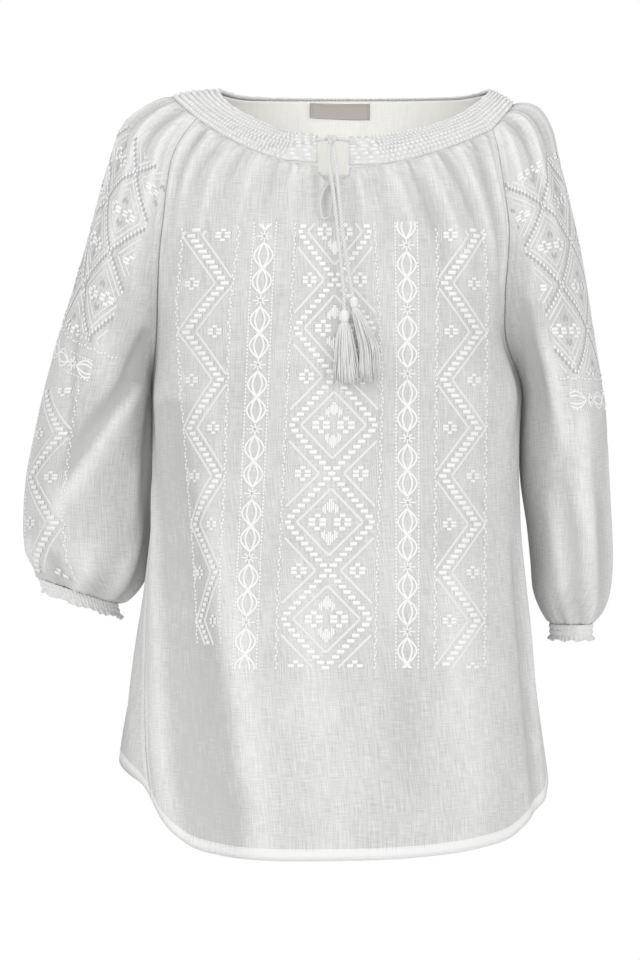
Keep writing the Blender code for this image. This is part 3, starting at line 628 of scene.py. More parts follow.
def sleeve_tube(u, level, table, outward):
    """Sleeve below the underarm; level is an index into the table's rows."""
    rows = np.arange(len(table["z"]))
    turn = np.radians((2 * u - 1) * 180)
    tilt = np.radians(smooth(rows, table["tilt"], level))
    across = smooth(rows, table["half_width"], level) * np.cos(turn) * outward
    x = smooth(rows, table["x"], level) + across * np.cos(tilt)
    y = smooth(rows, table["y"], level) + smooth(rows, table["half_depth"], level) * np.sin(turn)
    z = smooth(rows, table["z"], level) - across * np.sin(tilt)
    return np.stack([x, y, z], -1)


SLEEVE_CREASES_RIGHT = (
    (0.06, 0.12, 0.00, 0.30, 0.022, 3.0), (0.13, 0.20, 0.00, 0.26, 0.018, -3.2),
    (0.20, 0.26, 0.00, 0.34, 0.022, 3.0), (0.28, 0.33, 0.00, 0.24, 0.018, -2.4),
    (0.36, 0.40, 0.00, 0.30, 0.022, 2.4), (0.45, 0.46, 0.00, 0.22, 0.018, -2.2),
    (0.54, 0.54, 0.00, 0.28, 0.022, 2.4), (0.63, 0.62, 0.00, 0.24, 0.020, -2.4),
    (0.72, 0.70, 0.00, 0.30, 0.022, 2.6), (0.82, 0.78, 0.00, 0.26, 0.020, -2.6),
    (0.91, 0.86, 0.00, 0.28, 0.022, 2.8),
    (0.08, 0.20, 0.38, 0.62, 0.035, -3.4), (0.16, 0.28, 0.42, 0.72, 0.035, 3.0),
    (0.24, 0.27, 0.60, 1.00, 0.030, -3.0), (0.31, 0.33, 0.55, 1.00, 0.030, 2.8),
    (0.17, 0.21, 0.66, 1.00, 0.028, 2.4), (0.38, 0.39, 0.66, 1.00, 0.028, -2.2),
    (0.46, 0.46, 0.60, 1.00, 0.032, 2.2), (0.55, 0.54, 0.64, 1.00, 0.030, -2.4),
    (0.64, 0.63, 0.60, 1.00, 0.032, 2.6), (0.74, 0.72, 0.58, 1.00, 0.032, -2.8),
    (0.85, 0.80, 0.40, 0.75, 0.040, 3.0),
)
SLEEVE_CREASES_LEFT = (
    (0.06, 0.10, 0.00, 0.34, 0.022, 3.2), (0.13, 0.17, 0.00, 0.24, 0.018, -2.8),
    (0.21, 0.24, 0.00, 0.36, 0.024, 3.0), (0.29, 0.32, 0.00, 0.28, 0.018, -2.6),
    (0.37, 0.39, 0.00, 0.32, 0.022, 2.6), (0.46, 0.46, 0.00, 0.22, 0.018, -2.2),
    (0.55, 0.55, 0.00, 0.28, 0.022, 2.4), (0.64, 0.62, 0.00, 0.24, 0.020, -2.4),
    (0.73, 0.70, 0.00, 0.30, 0.022, 2.6), (0.82, 0.79, 0.00, 0.24, 0.020, -2.6),
    (0.91, 0.87, 0.00, 0.28, 0.022, 2.8),
    (0.38, 0.27, 0.10, 0.80, 0.012, -2.2),
    (0.04, 0.33, 0.42, 0.66, 0.030, -8.0), (0.10, 0.38, 0.50, 0.74, 0.032, 4.5),
    (0.03, 0.16, 0.52, 0.80, 0.026, -3.6), (0.12, 0.15, 0.62, 1.00, 0.028, 3.0),
    (0.07, 0.09, 0.66, 1.00, 0.022, -3.0), (0.24, 0.24, 0.74, 1.00, 0.030, 2.4),
    (0.34, 0.33, 0.78, 1.00, 0.026, -2.2), (0.44, 0.43, 0.74, 1.00, 0.028, 2.4),
    (0.55, 0.54, 0.70, 1.00, 0.030, -2.4), (0.66, 0.64, 0.62, 1.00, 0.032, 2.8),
    (0.77, 0.74, 0.60, 1.00, 0.032, -2.8), (0.88, 0.84, 0.56, 1.00, 0.032, 3.0),
)
sleeve_cloth = {}
for name, side, table, outward, folds, seed in (
    ("sleeve_right", RAGLAN_RIGHT, SLEEVE_RIGHT, 1, SLEEVE_CREASES_RIGHT, 21),
    ("sleeve_left", RAGLAN_LEFT, SLEEVE_LEFT, -1, SLEEVE_CREASES_LEFT, 22),
):
    u = np.linspace(0.0012, 0.9988, 181)
    v = np.concatenate([np.linspace(0, 0.12, 22), np.linspace(0.13, 0.5, 46), np.linspace(0.51, 1.0, 64)])
    grid_u, grid_v = np.meshgrid(u, v)
    upper = sleeve_yoke(grid_u, np.clip(grid_v * 16, 0, 8), side)
    lower = sleeve_tube(grid_u, np.clip((grid_v - 0.5) * 14, 0, 7), table, outward)
    points = np.where((grid_v <= 0.5)[..., None], upper, lower)
    centre = (table["x"][0] - 30 * outward, 10, -250)
    calm = np.clip(np.minimum(grid_u, 1 - grid_u) / 0.05, 0, 1)
    cloth = Cloth(points, u, v, centre).eased(np.searchsorted(v, 0.5), 11)
    gathered_at_cuff = gathers(grid_u, 1 - grid_v, 34, 0.13, 2.0, seed + 5, 0.0)
    sleeve_cloth[name] = cloth.lifted(calm * (
        creases(grid_u, grid_v, folds) + gathered_at_cuff
        + gathers(grid_u, grid_v, 26, 0.13, 2.0, seed, 0.0)
        + softness(grid_u, grid_v, 1.0, seed) * np.clip(grid_v / 0.2, 0, 1)))
    # Painted light and shade on the sleeve folds, stronger than on the panels.
    look = linen("linen_" + name, LINEN_THIN, LINEN_THICK, seams=True, painted_fold_shade=0.45)
    made = sleeve_cloth[name].build(name + "_linen", LINEN_WALL, look)
    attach(made, "root")
    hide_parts(name)

# ---------------------------------------------------------------------------------------------
# Embroidery of the front: white rayon satin stitches worked on the linen before it was sewn, in five
# upright strips. The middle strip is wide, with diamonds; a narrow chain and a zigzag lie either side.
FRONT_STRIPS_TOP = -126.0
FRONT_STRIPS_FOOT = -521.0
REPEAT = 85.7


class Stitches:
    """Satin stitches kept as bars in the flat: both ends, width and height."""

    def __init__(self):
        self.bars = []

    def bar(self, x0, y0, x1, y1, width, lift=0.6):
        self.bars.append((x0, y0, x1, y1, width, lift))

    def line(self, points, width, lift=0.55, piece=5.0):
        for (x0, y0), (x1, y1) in zip(points, points[1:]):
            count = max(1, int(np.hypot(x1 - x0, y1 - y0) / piece))
            for k in range(count):
                a, b = k / count, (k + 1) / count
                self.bar(x0 + (x1 - x0) * a, y0 + (y1 - y0) * a, x0 + (x1 - x0) * b, y0 + (y1 - y0) * b,
                         width, lift)

    def block(self, x, y, width, height, lift=0.9):
        self.bar(x - width / 2, y, x + width / 2, y, height, lift)

    def lobe(self, x, y, size=1.0):
        """Small flower lobe of satin blocks round a gap."""
        for dx, dy, wide in ((0, 5.2, 4.8), (-4.3, 1.8, 5.6), (4.3, 1.8, 5.6),
                             (-4.3, -1.8, 5.6), (4.3, -1.8, 5.6), (0, -5.2, 4.8)):
            self.block(x + dx * size, y + dy * size, wide * size, 3.1 * size, 0.8)

    def wave(self, x, low, high, reach=1.2, length=10.6, step=3.5):
        """Wavy line of running stitches beside a strip."""
        for y in np.arange(low, high, step):
            a = x + reach * np.sin(2 * np.pi * y / length)
            b = x + reach * np.sin(2 * np.pi * (y + 2.6) / length)
            self.bar(a, y, b, y + 2.6, 1.4, 0.7)

    def hatch(self, x, y, count, step, longest):
        """Fan of thin upright stitches, longest at its first stitch."""
        for k in range(count):
            half = longest * (1 - 0.75 * k / count) / 2
            self.bar(x + step * k, y - half, x + step * k, y + half, 0.8, 0.4)

    def within(self, left, right, low, high):
        """Keeps the stitches whose middles lie inside a rectangle."""
        self.bars = [bar for bar in self.bars if left <= (bar[0] + bar[2]) / 2 <= right
                     and low <= (bar[1] + bar[3]) / 2 <= high]
        return self

    def worked(self, name, cloth_at, look, painted_shade_look):
        """Pads of thread on the cloth, the low ones in a darker copy of the thread as painted shade; cloth_at
        gives the place of x, y and height.
        """
        bars = np.array(self.bars)
        start, end = bars[:, None, None, 0:2], bars[:, None, None, 2:4]
        width, lift = bars[:, 4][:, None, None], bars[:, 5][:, None, None]
        along = np.array((0.0, 0.5, 1.0))[None, :, None]
        across = np.array((-0.5, -0.3, 0.3, 0.5))[None, None, :]
        direction = end - start
        length = np.linalg.norm(direction, axis=-1)
        side = np.stack([-direction[..., 1], direction[..., 0]], -1) / length[..., None]
        taper = np.where(along == 0.5, 1.0, 0.90)
        flat = start + direction * along[..., None] + side * (across * width * taper)[..., None]
        crest = np.where(np.abs(across) < 0.4, np.where(along == 0.5, 1.0, 0.66), 0.04)
        height = (crest * lift + 0.10 + 0 * along).reshape(-1)
        x, y = flat[..., 0].reshape(-1), flat[..., 1].reshape(-1)
        points = cloth_at(x, y, height)
        above = cloth_at(x[5::12], y[5::12], np.full(len(bars), 3.0)) - points[5::12]
        cell = np.array([(k, k + 1, k + 5, k + 4) for k in (0, 1, 2, 4, 5, 6)])
        faces = cell[None] + (12 * np.arange(len(bars)))[:, None, None]
        one = points[faces[:, 1, 2]] - points[faces[:, 1, 0]]
        two = points[faces[:, 1, 3]] - points[faces[:, 1, 1]]
        turned = np.sum(np.cross(one, two) * above, axis=1) < 0
        faces[turned] = faces[turned][:, :, ::-1]
        mesh = bpy.data.meshes.new(name)
        mesh.from_pydata((points * MM).tolist(), [], faces.reshape(-1, 4).tolist())
        made = finished(name, mesh, look)
        mesh.materials.append(painted_shade_look)
        # The low stitches take the darker copy of the thread: painted shade.
        dull = (bars[:, 5] > 0.1) & (bars[:, 5] < 0.5)
        mesh.polygons.foreach_set("material_index", np.repeat(dull, 6).astype(np.int32))
        return made


def thread(name, colour, roughness):
    """Glossy stranded thread, a little uneven in tone."""
    made, wire, surface = new_material(name)
    place = wire.node("ShaderNodeTexCoord", {}, {}, 3)
    patch = wire.node("ShaderNodeTexNoise", {}, {"Vector": place, "Scale": 900.0, "Detail": 1.0})
    dark = tuple(0.90 * part for part in colour)
    wire.tree.links.new(patch.blend((*dark, 1), (*colour, 1)).socket, surface.inputs["Base Color"])
    bump = wire.node("ShaderNodeBump", {}, {"Strength": 0.25, "Distance": 0.0003, "Height": patch})
    wire.tree.links.new(bump.socket, surface.inputs["Normal"])
    surface.inputs["Roughness"].default_value = roughness
    surface.inputs["Sheen Weight"].default_value = 0.2
    return made


def zigzag_strip(low, high, phase, mirror):
    """Strip 44 mm wide: a zigzag of blocks between two satin lines, with flowers and hatching."""
    work = Stitches()
    for turn in range(-4, 4):
        z = phase - REPEAT * turn
        for k in range(10):
            for sign in ((1, -1) if 0 < k < 9 else (1,)):
                work.block(mirror * (-16 + 3.4 * k), z + sign * 4.74 * k, 6.8, 3.5)
        for offset in (-8.0, 8.0):
            left, right = -16 + offset, 14.5 + offset
            for sign in (1, -1):
                work.line([(mirror * left, z), (mirror * right, z + sign * REPEAT / 2)], 2.3, 0.45)
        work.lobe(mirror * 10.5, z, 0.85)
        work.lobe(-mirror * 10.0, z + REPEAT / 2, 0.85)
        work.hatch(mirror * 20.5, z, 3, -mirror * 1.5, 18)
        work.hatch(-mirror * 20.5, z + REPEAT / 2, 3, mirror * 1.5, 20)
    work.within(-21, 21, low, high)
    work.wave(-22.2, low, high)
    work.wave(22.2, low, high)
    return work


def diamond_strip(low, high, phase):
    """Strip 90 mm wide: a chain of diamonds of blocks, flowers inside and in the side triangles."""
    work = Stitches()
    for turn in range(-3, 5):
        z = phase - REPEAT * turn
        crossing = z + REPEAT / 2
        work.block(0, crossing, 6.8, 3.5)
        for k in range(1, 10):
            for sx, sz in ((1, 1), (-1, 1), (1, -1), (-1, -1)):
                if k < 9:
                    work.block(sx * 4.35 * k, z + sz * (REPEAT / 2 - 4.74 * k), 6.8, 3.5)
        work.block(37.4, z, 5.4, 3.2)
        work.block(-37.4, z, 5.4, 3.2)
        work.line([(0, z + 29.6), (29.6, z), (0, z - 29.6), (-29.6, z), (0, z + 29.6)], 2.6, 0.45)
        for sx in (1, -1):
            work.line([(sx * 40, crossing + 29), (sx * 11.1, crossing), (sx * 40, crossing - 29)], 2.6, 0.45)
            work.lobe(sx * 26.0, crossing, 1.0)
            work.lobe(sx * 11.2, z, 1.12)
            work.hatch(sx * 41, crossing, 5, -sx * 1.5, 24)
            work.hatch(sx * 41.0, z + 20, 3, -sx * 1.5, 9)
            work.hatch(sx * 41.0, z - 20, 3, -sx * 1.5, 9)
            for sz in (1, -1):
                for x, near, far in ((0.9, 8.5, 20.5), (2.7, 10.5, 18.0), (4.7, 7.0, 16.0), (6.5, 8.5, 14.0)):
                    work.bar(sx * x, z + sz * near, sx * x, z + sz * far, 1.7, 0.6)
    work.within(-41.5, 41.5, low, high)
    work.wave(-43.6, low, high)
    work.wave(43.6, low, high)
    return work


def chain_strip(low, high, phase):
    """Strip 19 mm wide: stars between double ovals, inside two dotted lines."""
    work = Stitches()
    for turn in range(-5, 6):
        z = phase - 57.0 * turn
        for k in range(8):
            way = np.array((np.sin(np.pi * k / 4), np.cos(np.pi * k / 4)))
            near, far = way * 1.2, way * (6.8 if k % 4 == 2 else 5.2)
            work.bar(near[0], z + near[1], far[0], z + far[1], 1.5, 0.7)
        t = np.linspace(0, 2, 25)
        for reach in (7.8, 4.0):
            for sign in (1, -1):
                curve = sign * reach * np.sin(np.pi * t)
                work.line(list(zip(curve, z - 5.6 - 22.9 * t)), 1.9)
        ring = np.linspace(0, 2 * np.pi, 9)
        work.line(list(zip(2.6 * np.cos(ring), z - 28.5 + 2.6 * np.sin(ring))), 0.9)
    for y in np.arange(low, high, 3.2):
        for x in (-9.3, 9.3):
            work.bar(x, y, x, y + 2.3, 1.5, 0.7)
    return work.within(-10, 10, low, high)


rayon = thread("rayon_thread", (0.95, 0.95, 0.95), 0.42)
# A darker, rougher copy of the same rayon: painted shade for the low satin lines and the hatching.
rayon_shaded = thread("rayon_thread_painted_shade", (0.84, 0.84, 0.83), 0.5)
# Each strip with its middle and its share of full width at five heights, from the top down.
HEIGHTS = (FRONT_STRIPS_TOP, -195, -283, -460, FRONT_STRIPS_FOOT)
strips = []
for work, centre, wide in (
    (zigzag_strip(FRONT_STRIPS_FOOT, FRONT_STRIPS_TOP - 4, -350.5, 1),
     (111.5, 113.2, 112, 110.7, 110.2), (0.95, 1.02, 1.03, 1.01, 1.0)),
    (zigzag_strip(FRONT_STRIPS_FOOT + 22, FRONT_STRIPS_TOP - 4, -350.5, -1),
     (-110, -117.6, -117.5, -115.8, -114), (1.15, 1.10, 0.95, 0.62, 0.58)),
    (diamond_strip(FRONT_STRIPS_FOOT, FRONT_STRIPS_TOP - 2, -305.5),
     (-0.4, -0.5, -0.9, -7.5, -9), (0.80, 0.88, 0.97, 1.0, 1.0)),
    (chain_strip(FRONT_STRIPS_FOOT, FRONT_STRIPS_TOP, -309.0),
     (-62, -66.3, -70, -77.8, -80), (1.05, 1.08, 1.08, 1.08, 1.08)),
    (chain_strip(FRONT_STRIPS_FOOT, FRONT_STRIPS_TOP, -317.0),
     (62.5, 63.6, 63.6, 63.6, 63.4), (1.05, 1.08, 1.08, 1.08, 1.08)),
):
    for x0, y0, x1, y1, width, lift in work.bars:
        middle = np.interp((y0, y1), HEIGHTS[::-1], centre[::-1])
        scale = np.interp((y0, y1), HEIGHTS[::-1], wide[::-1])
        strips.append((middle[0] + x0 * scale[0], y0, middle[1] + x1 * scale[1], y1, width, lift))


def on_front(x, z, height):
    """Place on the front panel that shows at x and z, height above it."""
    across, down = front_base.find(x, z)
    return front_cloth.place(across, down, height)


front_work = Stitches()
front_work.bars = strips
stitched = front_work.worked("front_embroidery", on_front, rayon, rayon_shaded)
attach(stitched, "root")

# ---------------------------------------------------------------------------------------------
# Embroidery of the sleeves: a lattice of stepped openwork with a flower in each diamond down the
# outer side to the elbow, a chain across it there, and a zigzag strip from the elbow to the cuff.
# The openings of the drawn-thread work and the upright stitches above and below each flower are grey pads:
# painted shade.
shade = thread("drawn_thread_openings_painted_shade", (0.50, 0.50, 0.51), 0.9)
HALF_ACROSS, HALF_DOWN = 30.0, 41.5
for name, first, skew, foot, strip_at, strip_wide in (
    ("sleeve_left", 132.0, 0.35, 262.0, -50.0, 1.35),
    ("sleeve_right", 151.0, 0.0, 276.0, 45.0, 1.2),
):
    cloth = sleeve_cloth[name]
    white = Stitches()
    dark = Stitches()
    step = np.array((HALF_ACROSS, HALF_DOWN))
    unit = step / np.hypot(*step)
    for i in range(-2, 6):
        for j in range(-3, 5):
            s = -80 + HALF_ACROSS * i
            h = first + HALF_DOWN * j
            if (i + j) % 2 == 0:
                white.lobe(s - 8.4, h + 2, 1.0)
                white.lobe(s + 8.4, h + 2, 1.0)
                for x, y in ((-2.0, 12), (0, 14), (2.0, 12), (-2.0, -9), (0, -11), (2.0, -9)):
                    # Grey pads for the upright stitches of the flower: painted shade.
                    dark.bar(s + x, h + y - 2.5, s + x, h + y + 2.5, 1.6, 0.05)
                white.line([(s - 17, h), (s, h - 23.5), (s + 17, h), (s, h + 23.5), (s - 17, h)], 1.5, 0.45)
                continue
            for sign in (1, -1):
                for k in range(11):
                    at = np.array((s, h)) + np.array((unit[0], sign * unit[1])) * (2.3 + 4.6 * k)
                    # Grey pads for the holes of the drawn threads: painted shade.
                    dark.bar(at[0], at[1] - 2.3, at[0], at[1] + 2.3, 2.3, 0.05)
                    white.bar(at[0] + 2.5, at[1] - 1.6, at[0] + 2.5, at[1] + 1.6, 1.6, 0.5)
                for side in (-1, 1):
                    edge = np.array((sign * unit[1], -unit[0])) * side * 6.0
                    a = np.array((s, h)) + edge + np.array((unit[0], sign * unit[1])) * 5
                    b = a + np.array((unit[0], sign * unit[1])) * 41
                    white.line([tuple(a), tuple(b)], 1.9, 0.45)
    for work in (white, dark):
        work.within(-112, 64, 66, foot)
        work.bars = [bar for bar in work.bars if bar[0] > -112 + 0.10 * (bar[1] - 94)]
    white.wave(0, -110, 62)
    border = white.bars[-int(np.ceil(172 / 3.5)):]
    white.bars = white.bars[:-len(border)]
    chain = chain_strip(-88, 62, -9)
    for bars, drop in ((border, foot + 4), (chain.bars, foot + 24)):
        white.bars += [(y0, drop + x0, y1, drop + x1, width, lift) for x0, y0, x1, y1, width, lift in bars]
    strip = zigzag_strip(-480.0, -(foot + 42), -350.0, 1)
    white.bars += [(strip_at + x0 * strip_wide, -y0, strip_at + x1 * strip_wide, -y1, width, lift)
                   for x0, y0, x1, y1, width, lift in strip.bars]

    def on_sleeve(s, h, height):
        """Place on the sleeve s round it and h down it, height above it."""
        across, down = cloth.find_by_length(s, h - skew * (s + 80) * (h < foot + 40))
        return cloth.place(across, down, height)

    for work, label_of, look in ((white, "_embroidery", rayon), (dark, "_openwork_painted_shade", shade)):
        made = work.worked(name + label_of, on_sleeve, look, rayon_shaded)
        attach(made, "root")

# ---------------------------------------------------------------------------------------------
# Neckband: the gathered tops of all four pieces, shirred on eight rows of fine elastic over a
# narrow casing. It stands about 32 mm wide round the neck and stops at the two edges of the slit.
NECK_EDGE = {
    "angle": (-225, -180, -135, -90, -48, -25, 0, 25, 48, 90, 135, 180, 225),
    "x": (110, 17, -76, -104, -79, -45, -2, 46, 92, 140, 110, 17, -76),
    "y": (48, 72, 48, -8, -66, -88, -97, -89, -70, -8, 48, 72, 48),
    "z": (0.5, 1, 0.5, 0, -25.5, -41, -47, -45, -33.5, 0, 0.5, 1, 0.5),
}
SHIRRING_ROWS = 8
PUCKERS = 205


def band_lower(angle):
    """Lower edge of the neckband by angle from the middle of the front."""
    low = np.zeros((len(angle), 3))
    size = np.abs(angle)
    ahead = size <= 60
    behind = size >= 122
    low[ahead] = yoke_panel(0.5 + angle[ahead] / 120, np.zeros(ahead.sum()), "front")
    share = (180 - size[behind]) / 58 * np.sign(angle[behind]) * 0.5
    low[behind] = yoke_panel(0.5 + share, np.zeros(behind.sum()), "back")
    for side, sign in ((RAGLAN_RIGHT, 1), (RAGLAN_LEFT, -1)):
        here = ~ahead & ~behind & (np.sign(angle) == sign)
        low[here] = sleeve_yoke((size[here] - 60) / 62, np.zeros(here.sum()), side)
    return low


def band_surface(angle, down):
    """Neckband from its upper edge (0) to its lower edge (1), one row for each value of down."""
    top = np.stack([smooth(NECK_EDGE["angle"], NECK_EDGE[axis], angle) for axis in "xyz"], -1)
    low = band_lower(angle)
    rows = []
    for share in down:
        row = top + (low - top) * share
        row[:, 2] += 2.5 * np.sin(np.pi * share)
        rows.append(row)
    return np.array(rows)


turn = np.linspace(SLIT_ANGLE - 360, -SLIT_ANGLE, 1420)
angle = np.where(turn < -180, turn + 360, turn)
u = np.linspace(0, 1, len(turn))
v = np.linspace(0, 0.99, 33)
grid_u, grid_v = np.meshgrid(u, v)
points = band_surface(angle, v)
slit_end = np.clip(1 - np.minimum(grid_u, 1 - grid_u) / 0.012, 0, 1)
to_slit = np.where(grid_u < 0.5, SLIT_RIGHT - points[:, :1, 0], SLIT_LEFT - points[:, -1:, 0])
points[..., 0] += slit_end * to_slit
chance = np.random.RandomState(5)
drift = np.cumsum(chance.rand(SHIRRING_ROWS + 1, 1) * 3.0, axis=0)
row_number = grid_v / 0.99 * SHIRRING_ROWS
strip = np.clip(row_number.astype(int), 0, SHIRRING_ROWS - 1)
uneven = (2.2 * np.sin(2 * np.pi * (7.3 * grid_u + 0.21 * strip))
          + 1.5 * np.sin(2 * np.pi * 17.7 * grid_u + strip))
phase = 2 * np.pi * (PUCKERS * grid_u) + uneven + drift[strip, 0]
swell = np.abs(np.sin(np.pi * (row_number - strip)))
strong = (0.95 + 0.25 * np.sin(2 * np.pi * (31.3 * grid_u + 0.37 * strip))
          + 0.2 * np.sin(2 * np.pi * (53.1 * grid_u + 0.19 * strip)))
pucker = (np.cos(phase) * 1.15 + 0.5 * np.cos(2 * phase + strip)) * strong * swell ** 0.6 + 0.8 * swell
foot = np.clip((0.99 - grid_v) / 0.06, 0, 1)
band_cloth = Cloth(points, u, v, (16, 0, -60)).lifted((pucker - 0.6) * foot - 0.5 * (1 - foot))
# Painted light and shade on the puckers: lighter on their ridges, darker in their hollows.
band_look = linen("linen_band", (0.72, 0.72, 0.715), (0.97, 0.97, 0.96), painted_fold_shade=1.2)
band = band_cloth.build("neckband_shirring", 0.8, band_look)
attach(band, "root")
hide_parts("neckband")

# ---------------------------------------------------------------------------------------------
# Back neck facing and label: a plain strip of denser, slightly cream linen sewn inside the back of
# the neck, with one woven satin label stitched flat on it. The label is left blank.
turn = np.linspace(104, 256, 120)
angle = np.where(turn > 180, turn - 360, turn)
upper = band_surface(angle, np.linspace(0.03, 1.0, 12))
lower = []
for ring in np.linspace(0.15, 1.6, 10):
    share = np.clip((180 - np.abs(angle)) / 58, 0, 1) * np.sign(angle) * 0.5
    row = yoke_panel(0.5 + share, np.full(len(angle), ring), "back")
    for side, sign in ((RAGLAN_RIGHT, 1), (RAGLAN_LEFT, -1)):
        here = (np.abs(angle) < 122) & (np.sign(angle) == sign)
        row[here] = sleeve_yoke((np.abs(angle[here]) - 60) / 62, np.full(here.sum(), ring), side)
    lower.append(row)
u = np.linspace(0, 1, len(turn))
v = np.linspace(0, 1, 22)
facing_cloth = Cloth(np.vstack([upper, np.array(lower)]), u, v, (16, 0, -60))
facing_cloth = facing_cloth.lifted(np.full((len(v), len(u)), -4.2))
facing_look = linen("linen_facing", (0.76, 0.745, 0.71), (0.86, 0.85, 0.82), sheen=0.05, painted_fold_shade=0.0)
facing = facing_cloth.build("back_facing_linen", 0.8, facing_look)
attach(facing, "root")
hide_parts("back_facing")

LABEL_MIDDLE = 4.5
LABEL_WIDTH = 57.0
turn = np.linspace(172.2, 199.9, 40)
angle = np.where(turn > 180, turn - 360, turn)
u = np.linspace(0, 1, 40)
v = np.linspace(0, 1, 18)
points = band_surface(angle, np.linspace(0.10, 0.54, 18))
points[..., 0] = np.linspace(LABEL_MIDDLE + LABEL_WIDTH / 2, LABEL_MIDDLE - LABEL_WIDTH / 2, 40)
label_cloth = Cloth(points, u, v, (16, 0, -60))
grid_u, grid_v = np.meshgrid(u, v)
label_cloth = label_cloth.lifted(-6.0 + 0.25 * np.sin(9 * grid_u) * np.sin(5 * grid_v))
satin, wire, surface = new_material("label_satin")
flat = wire.node("ShaderNodeUVMap", {"uv_map": "cloth"}, {})
across = wire.node("ShaderNodeSeparateXYZ", {}, {"Vector": flat}, 0)
down = wire.node("ShaderNodeSeparateXYZ", {}, {"Vector": flat}, 1)
edge = wire.node("ShaderNodeAttribute", {"attribute_name": "edge"}, {}, 2)
seam = (down > 0.0016) * (down < 0.0024) + (edge > 0.0016) * (edge < 0.0024)
stitched = seam * ((across * 3000.0).sine() > 0.0)
grain = (across * 7000.0).sine() * 0.5 + (down * 5200.0).sine() * 0.5
tone = grain * 0.12 + 0.5 - stitched * 0.4
wire.tree.links.new(tone.clamped().blend((0.30, 0.285, 0.25, 1), (0.44, 0.42, 0.385, 1)).socket,
                    surface.inputs["Base Color"])
bump = wire.node("ShaderNodeBump", {}, {"Strength": 0.3, "Distance": 0.0003, "Height": grain})
wire.tree.links.new(bump.socket, surface.inputs["Normal"])
surface.inputs["Roughness"].default_value = 0.45
label = label_cloth.build("neck_label_satin", -0.7, satin)
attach(label, "root")
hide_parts("neck_label")

# ---------------------------------------------------------------------------------------------
# Cuffs: the sleeve ends are drawn in on two rows of elastic in a narrow casing, and the cloth
# below the casing stands out as a small uneven frill.
for name, table, outward, count, seed in (
    ("cuff_right", SLEEVE_RIGHT, 1, 62, 31),
    ("cuff_left", SLEEVE_LEFT, -1, 66, 32),
):
    u = np.linspace(0, 1, 420)
    v = np.linspace(0, 1, 26)
    grid_u, grid_v = np.meshgrid(u, v)
    base = sleeve_tube(u, np.full(len(u), 7.0), table, outward)
    middle = base[:-1].mean(0)
    tilt = np.radians(table["tilt"][-1])
    down = np.array((-np.sin(tilt) * outward, 0, -np.cos(tilt)))
    spread = base - middle
    spread /= np.linalg.norm(spread, axis=1, keepdims=True)
    grow = np.interp(v, (0, 0.3, 0.62, 0.72, 1.0), (0.2, -0.2, -0.4, -0.6, 2.2))
    depth = np.interp(v, (0, 1), (0.2, 14.0))
    points = base[None] + spread[None] * grow[:, None, None] + down * depth[:, None, None]
    wander = np.sin(2 * np.pi * 5 * grid_u) * 1.5 + np.sin(2 * np.pi * 11 * grid_u + 1.3)
    fold = np.cos(2 * np.pi * count * grid_u + wander)
    swell = np.abs(np.sin(np.pi * np.clip(grid_v / 0.70, 0, 1) * 2)) * (grid_v < 0.70)
    frill = np.clip((grid_v - 0.70) / 0.30, 0, 1)
    ruffle = np.cos(2 * np.pi * count / 2 * grid_u + 0.5 * wander) * 1.3 * frill
    lift = fold * (0.4 + 0.3 * swell) * (1 - frill) + 0.6 * swell + 0.7 * ruffle
    cuff_cloth = Cloth(points, u, v, middle + down * 7).lifted(lift - 0.3)
    cuff_cloth.points[..., 2] += 0.9 * frill * np.cos(2 * np.pi * 9 * grid_u + seed)
    look = linen("linen_" + name, (0.76, 0.76, 0.75), (0.95, 0.95, 0.94))
    made = cuff_cloth.build(name + "_casing", 0.8, look)
    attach(made, "root")
    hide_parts(name)

# ---------------------------------------------------------------------------------------------
# Drawstring: a twisted cotton cord of three plies, about 3.6 mm thick. It comes out of the casing at
# both sides of the slit, is knotted in front of it and hangs down in two tails with tassels.
def tube(name, rings, look, groove=None):
    """Closed tube through rings of points, rows by places round, with its groove depth where it has one, kept
    for painted shade.
    """
    rows, around = rings.shape[:2]
    index = np.arange(rows * around).reshape(rows, around)
    beyond = np.roll(index, -1, axis=1)
    faces = np.stack([index[:-1], beyond[:-1], beyond[1:], index[1:]], -1).reshape(-1, 4).tolist()
    faces += [list(index[0][::-1]), list(index[-1])]
    mesh = bpy.data.meshes.new(name)
    mesh.from_pydata((rings.reshape(-1, 3) * MM).tolist(), [], faces)
    if groove is not None:
        kept = mesh.attributes.new("groove", "FLOAT", "POINT")
        kept.data.foreach_set("value", groove.astype(np.float32).reshape(-1))
    return finished(name, mesh, look)


def twisted(name, route, radius, pitch, look, step=0.9, around=15):
    """Twisted cord of three plies along a smooth curve through the route."""
    route = np.asarray(route, float)
    walk = np.concatenate([[0], np.cumsum(np.linalg.norm(np.diff(route, axis=0), axis=1))])
    at = np.linspace(0, walk[-1], max(6, int(walk[-1] / step)))
    line = np.stack([smooth(walk, route[:, axis], at) for axis in range(3)], -1)
    along = np.gradient(line, axis=0)
    along /= np.linalg.norm(along, axis=1, keepdims=True)
    side = np.zeros_like(line)
    side[0] = np.cross(along[0], (0.3, 1.0, 0.2))
    for k in range(1, len(line)):
        side[k] = side[k - 1] - along[k] * np.dot(side[k - 1], along[k])
        side[k] /= np.linalg.norm(side[k])
    side[0] /= np.linalg.norm(side[0])
    other = np.cross(along, side)
    turn = np.linspace(0, 2 * np.pi, around, endpoint=False)[None, :]
    ply = 1.5 * (turn - 2 * np.pi * at[:, None] / pitch)
    reach = radius * (0.50 + 0.56 * np.abs(np.cos(ply)))
    points = line[:, None] + reach[..., None] * (
        np.cos(turn)[..., None] * side[:, None] + np.sin(turn)[..., None] * other[:, None])
    return tube(name, points, look, 1 - np.abs(np.cos(ply))), line


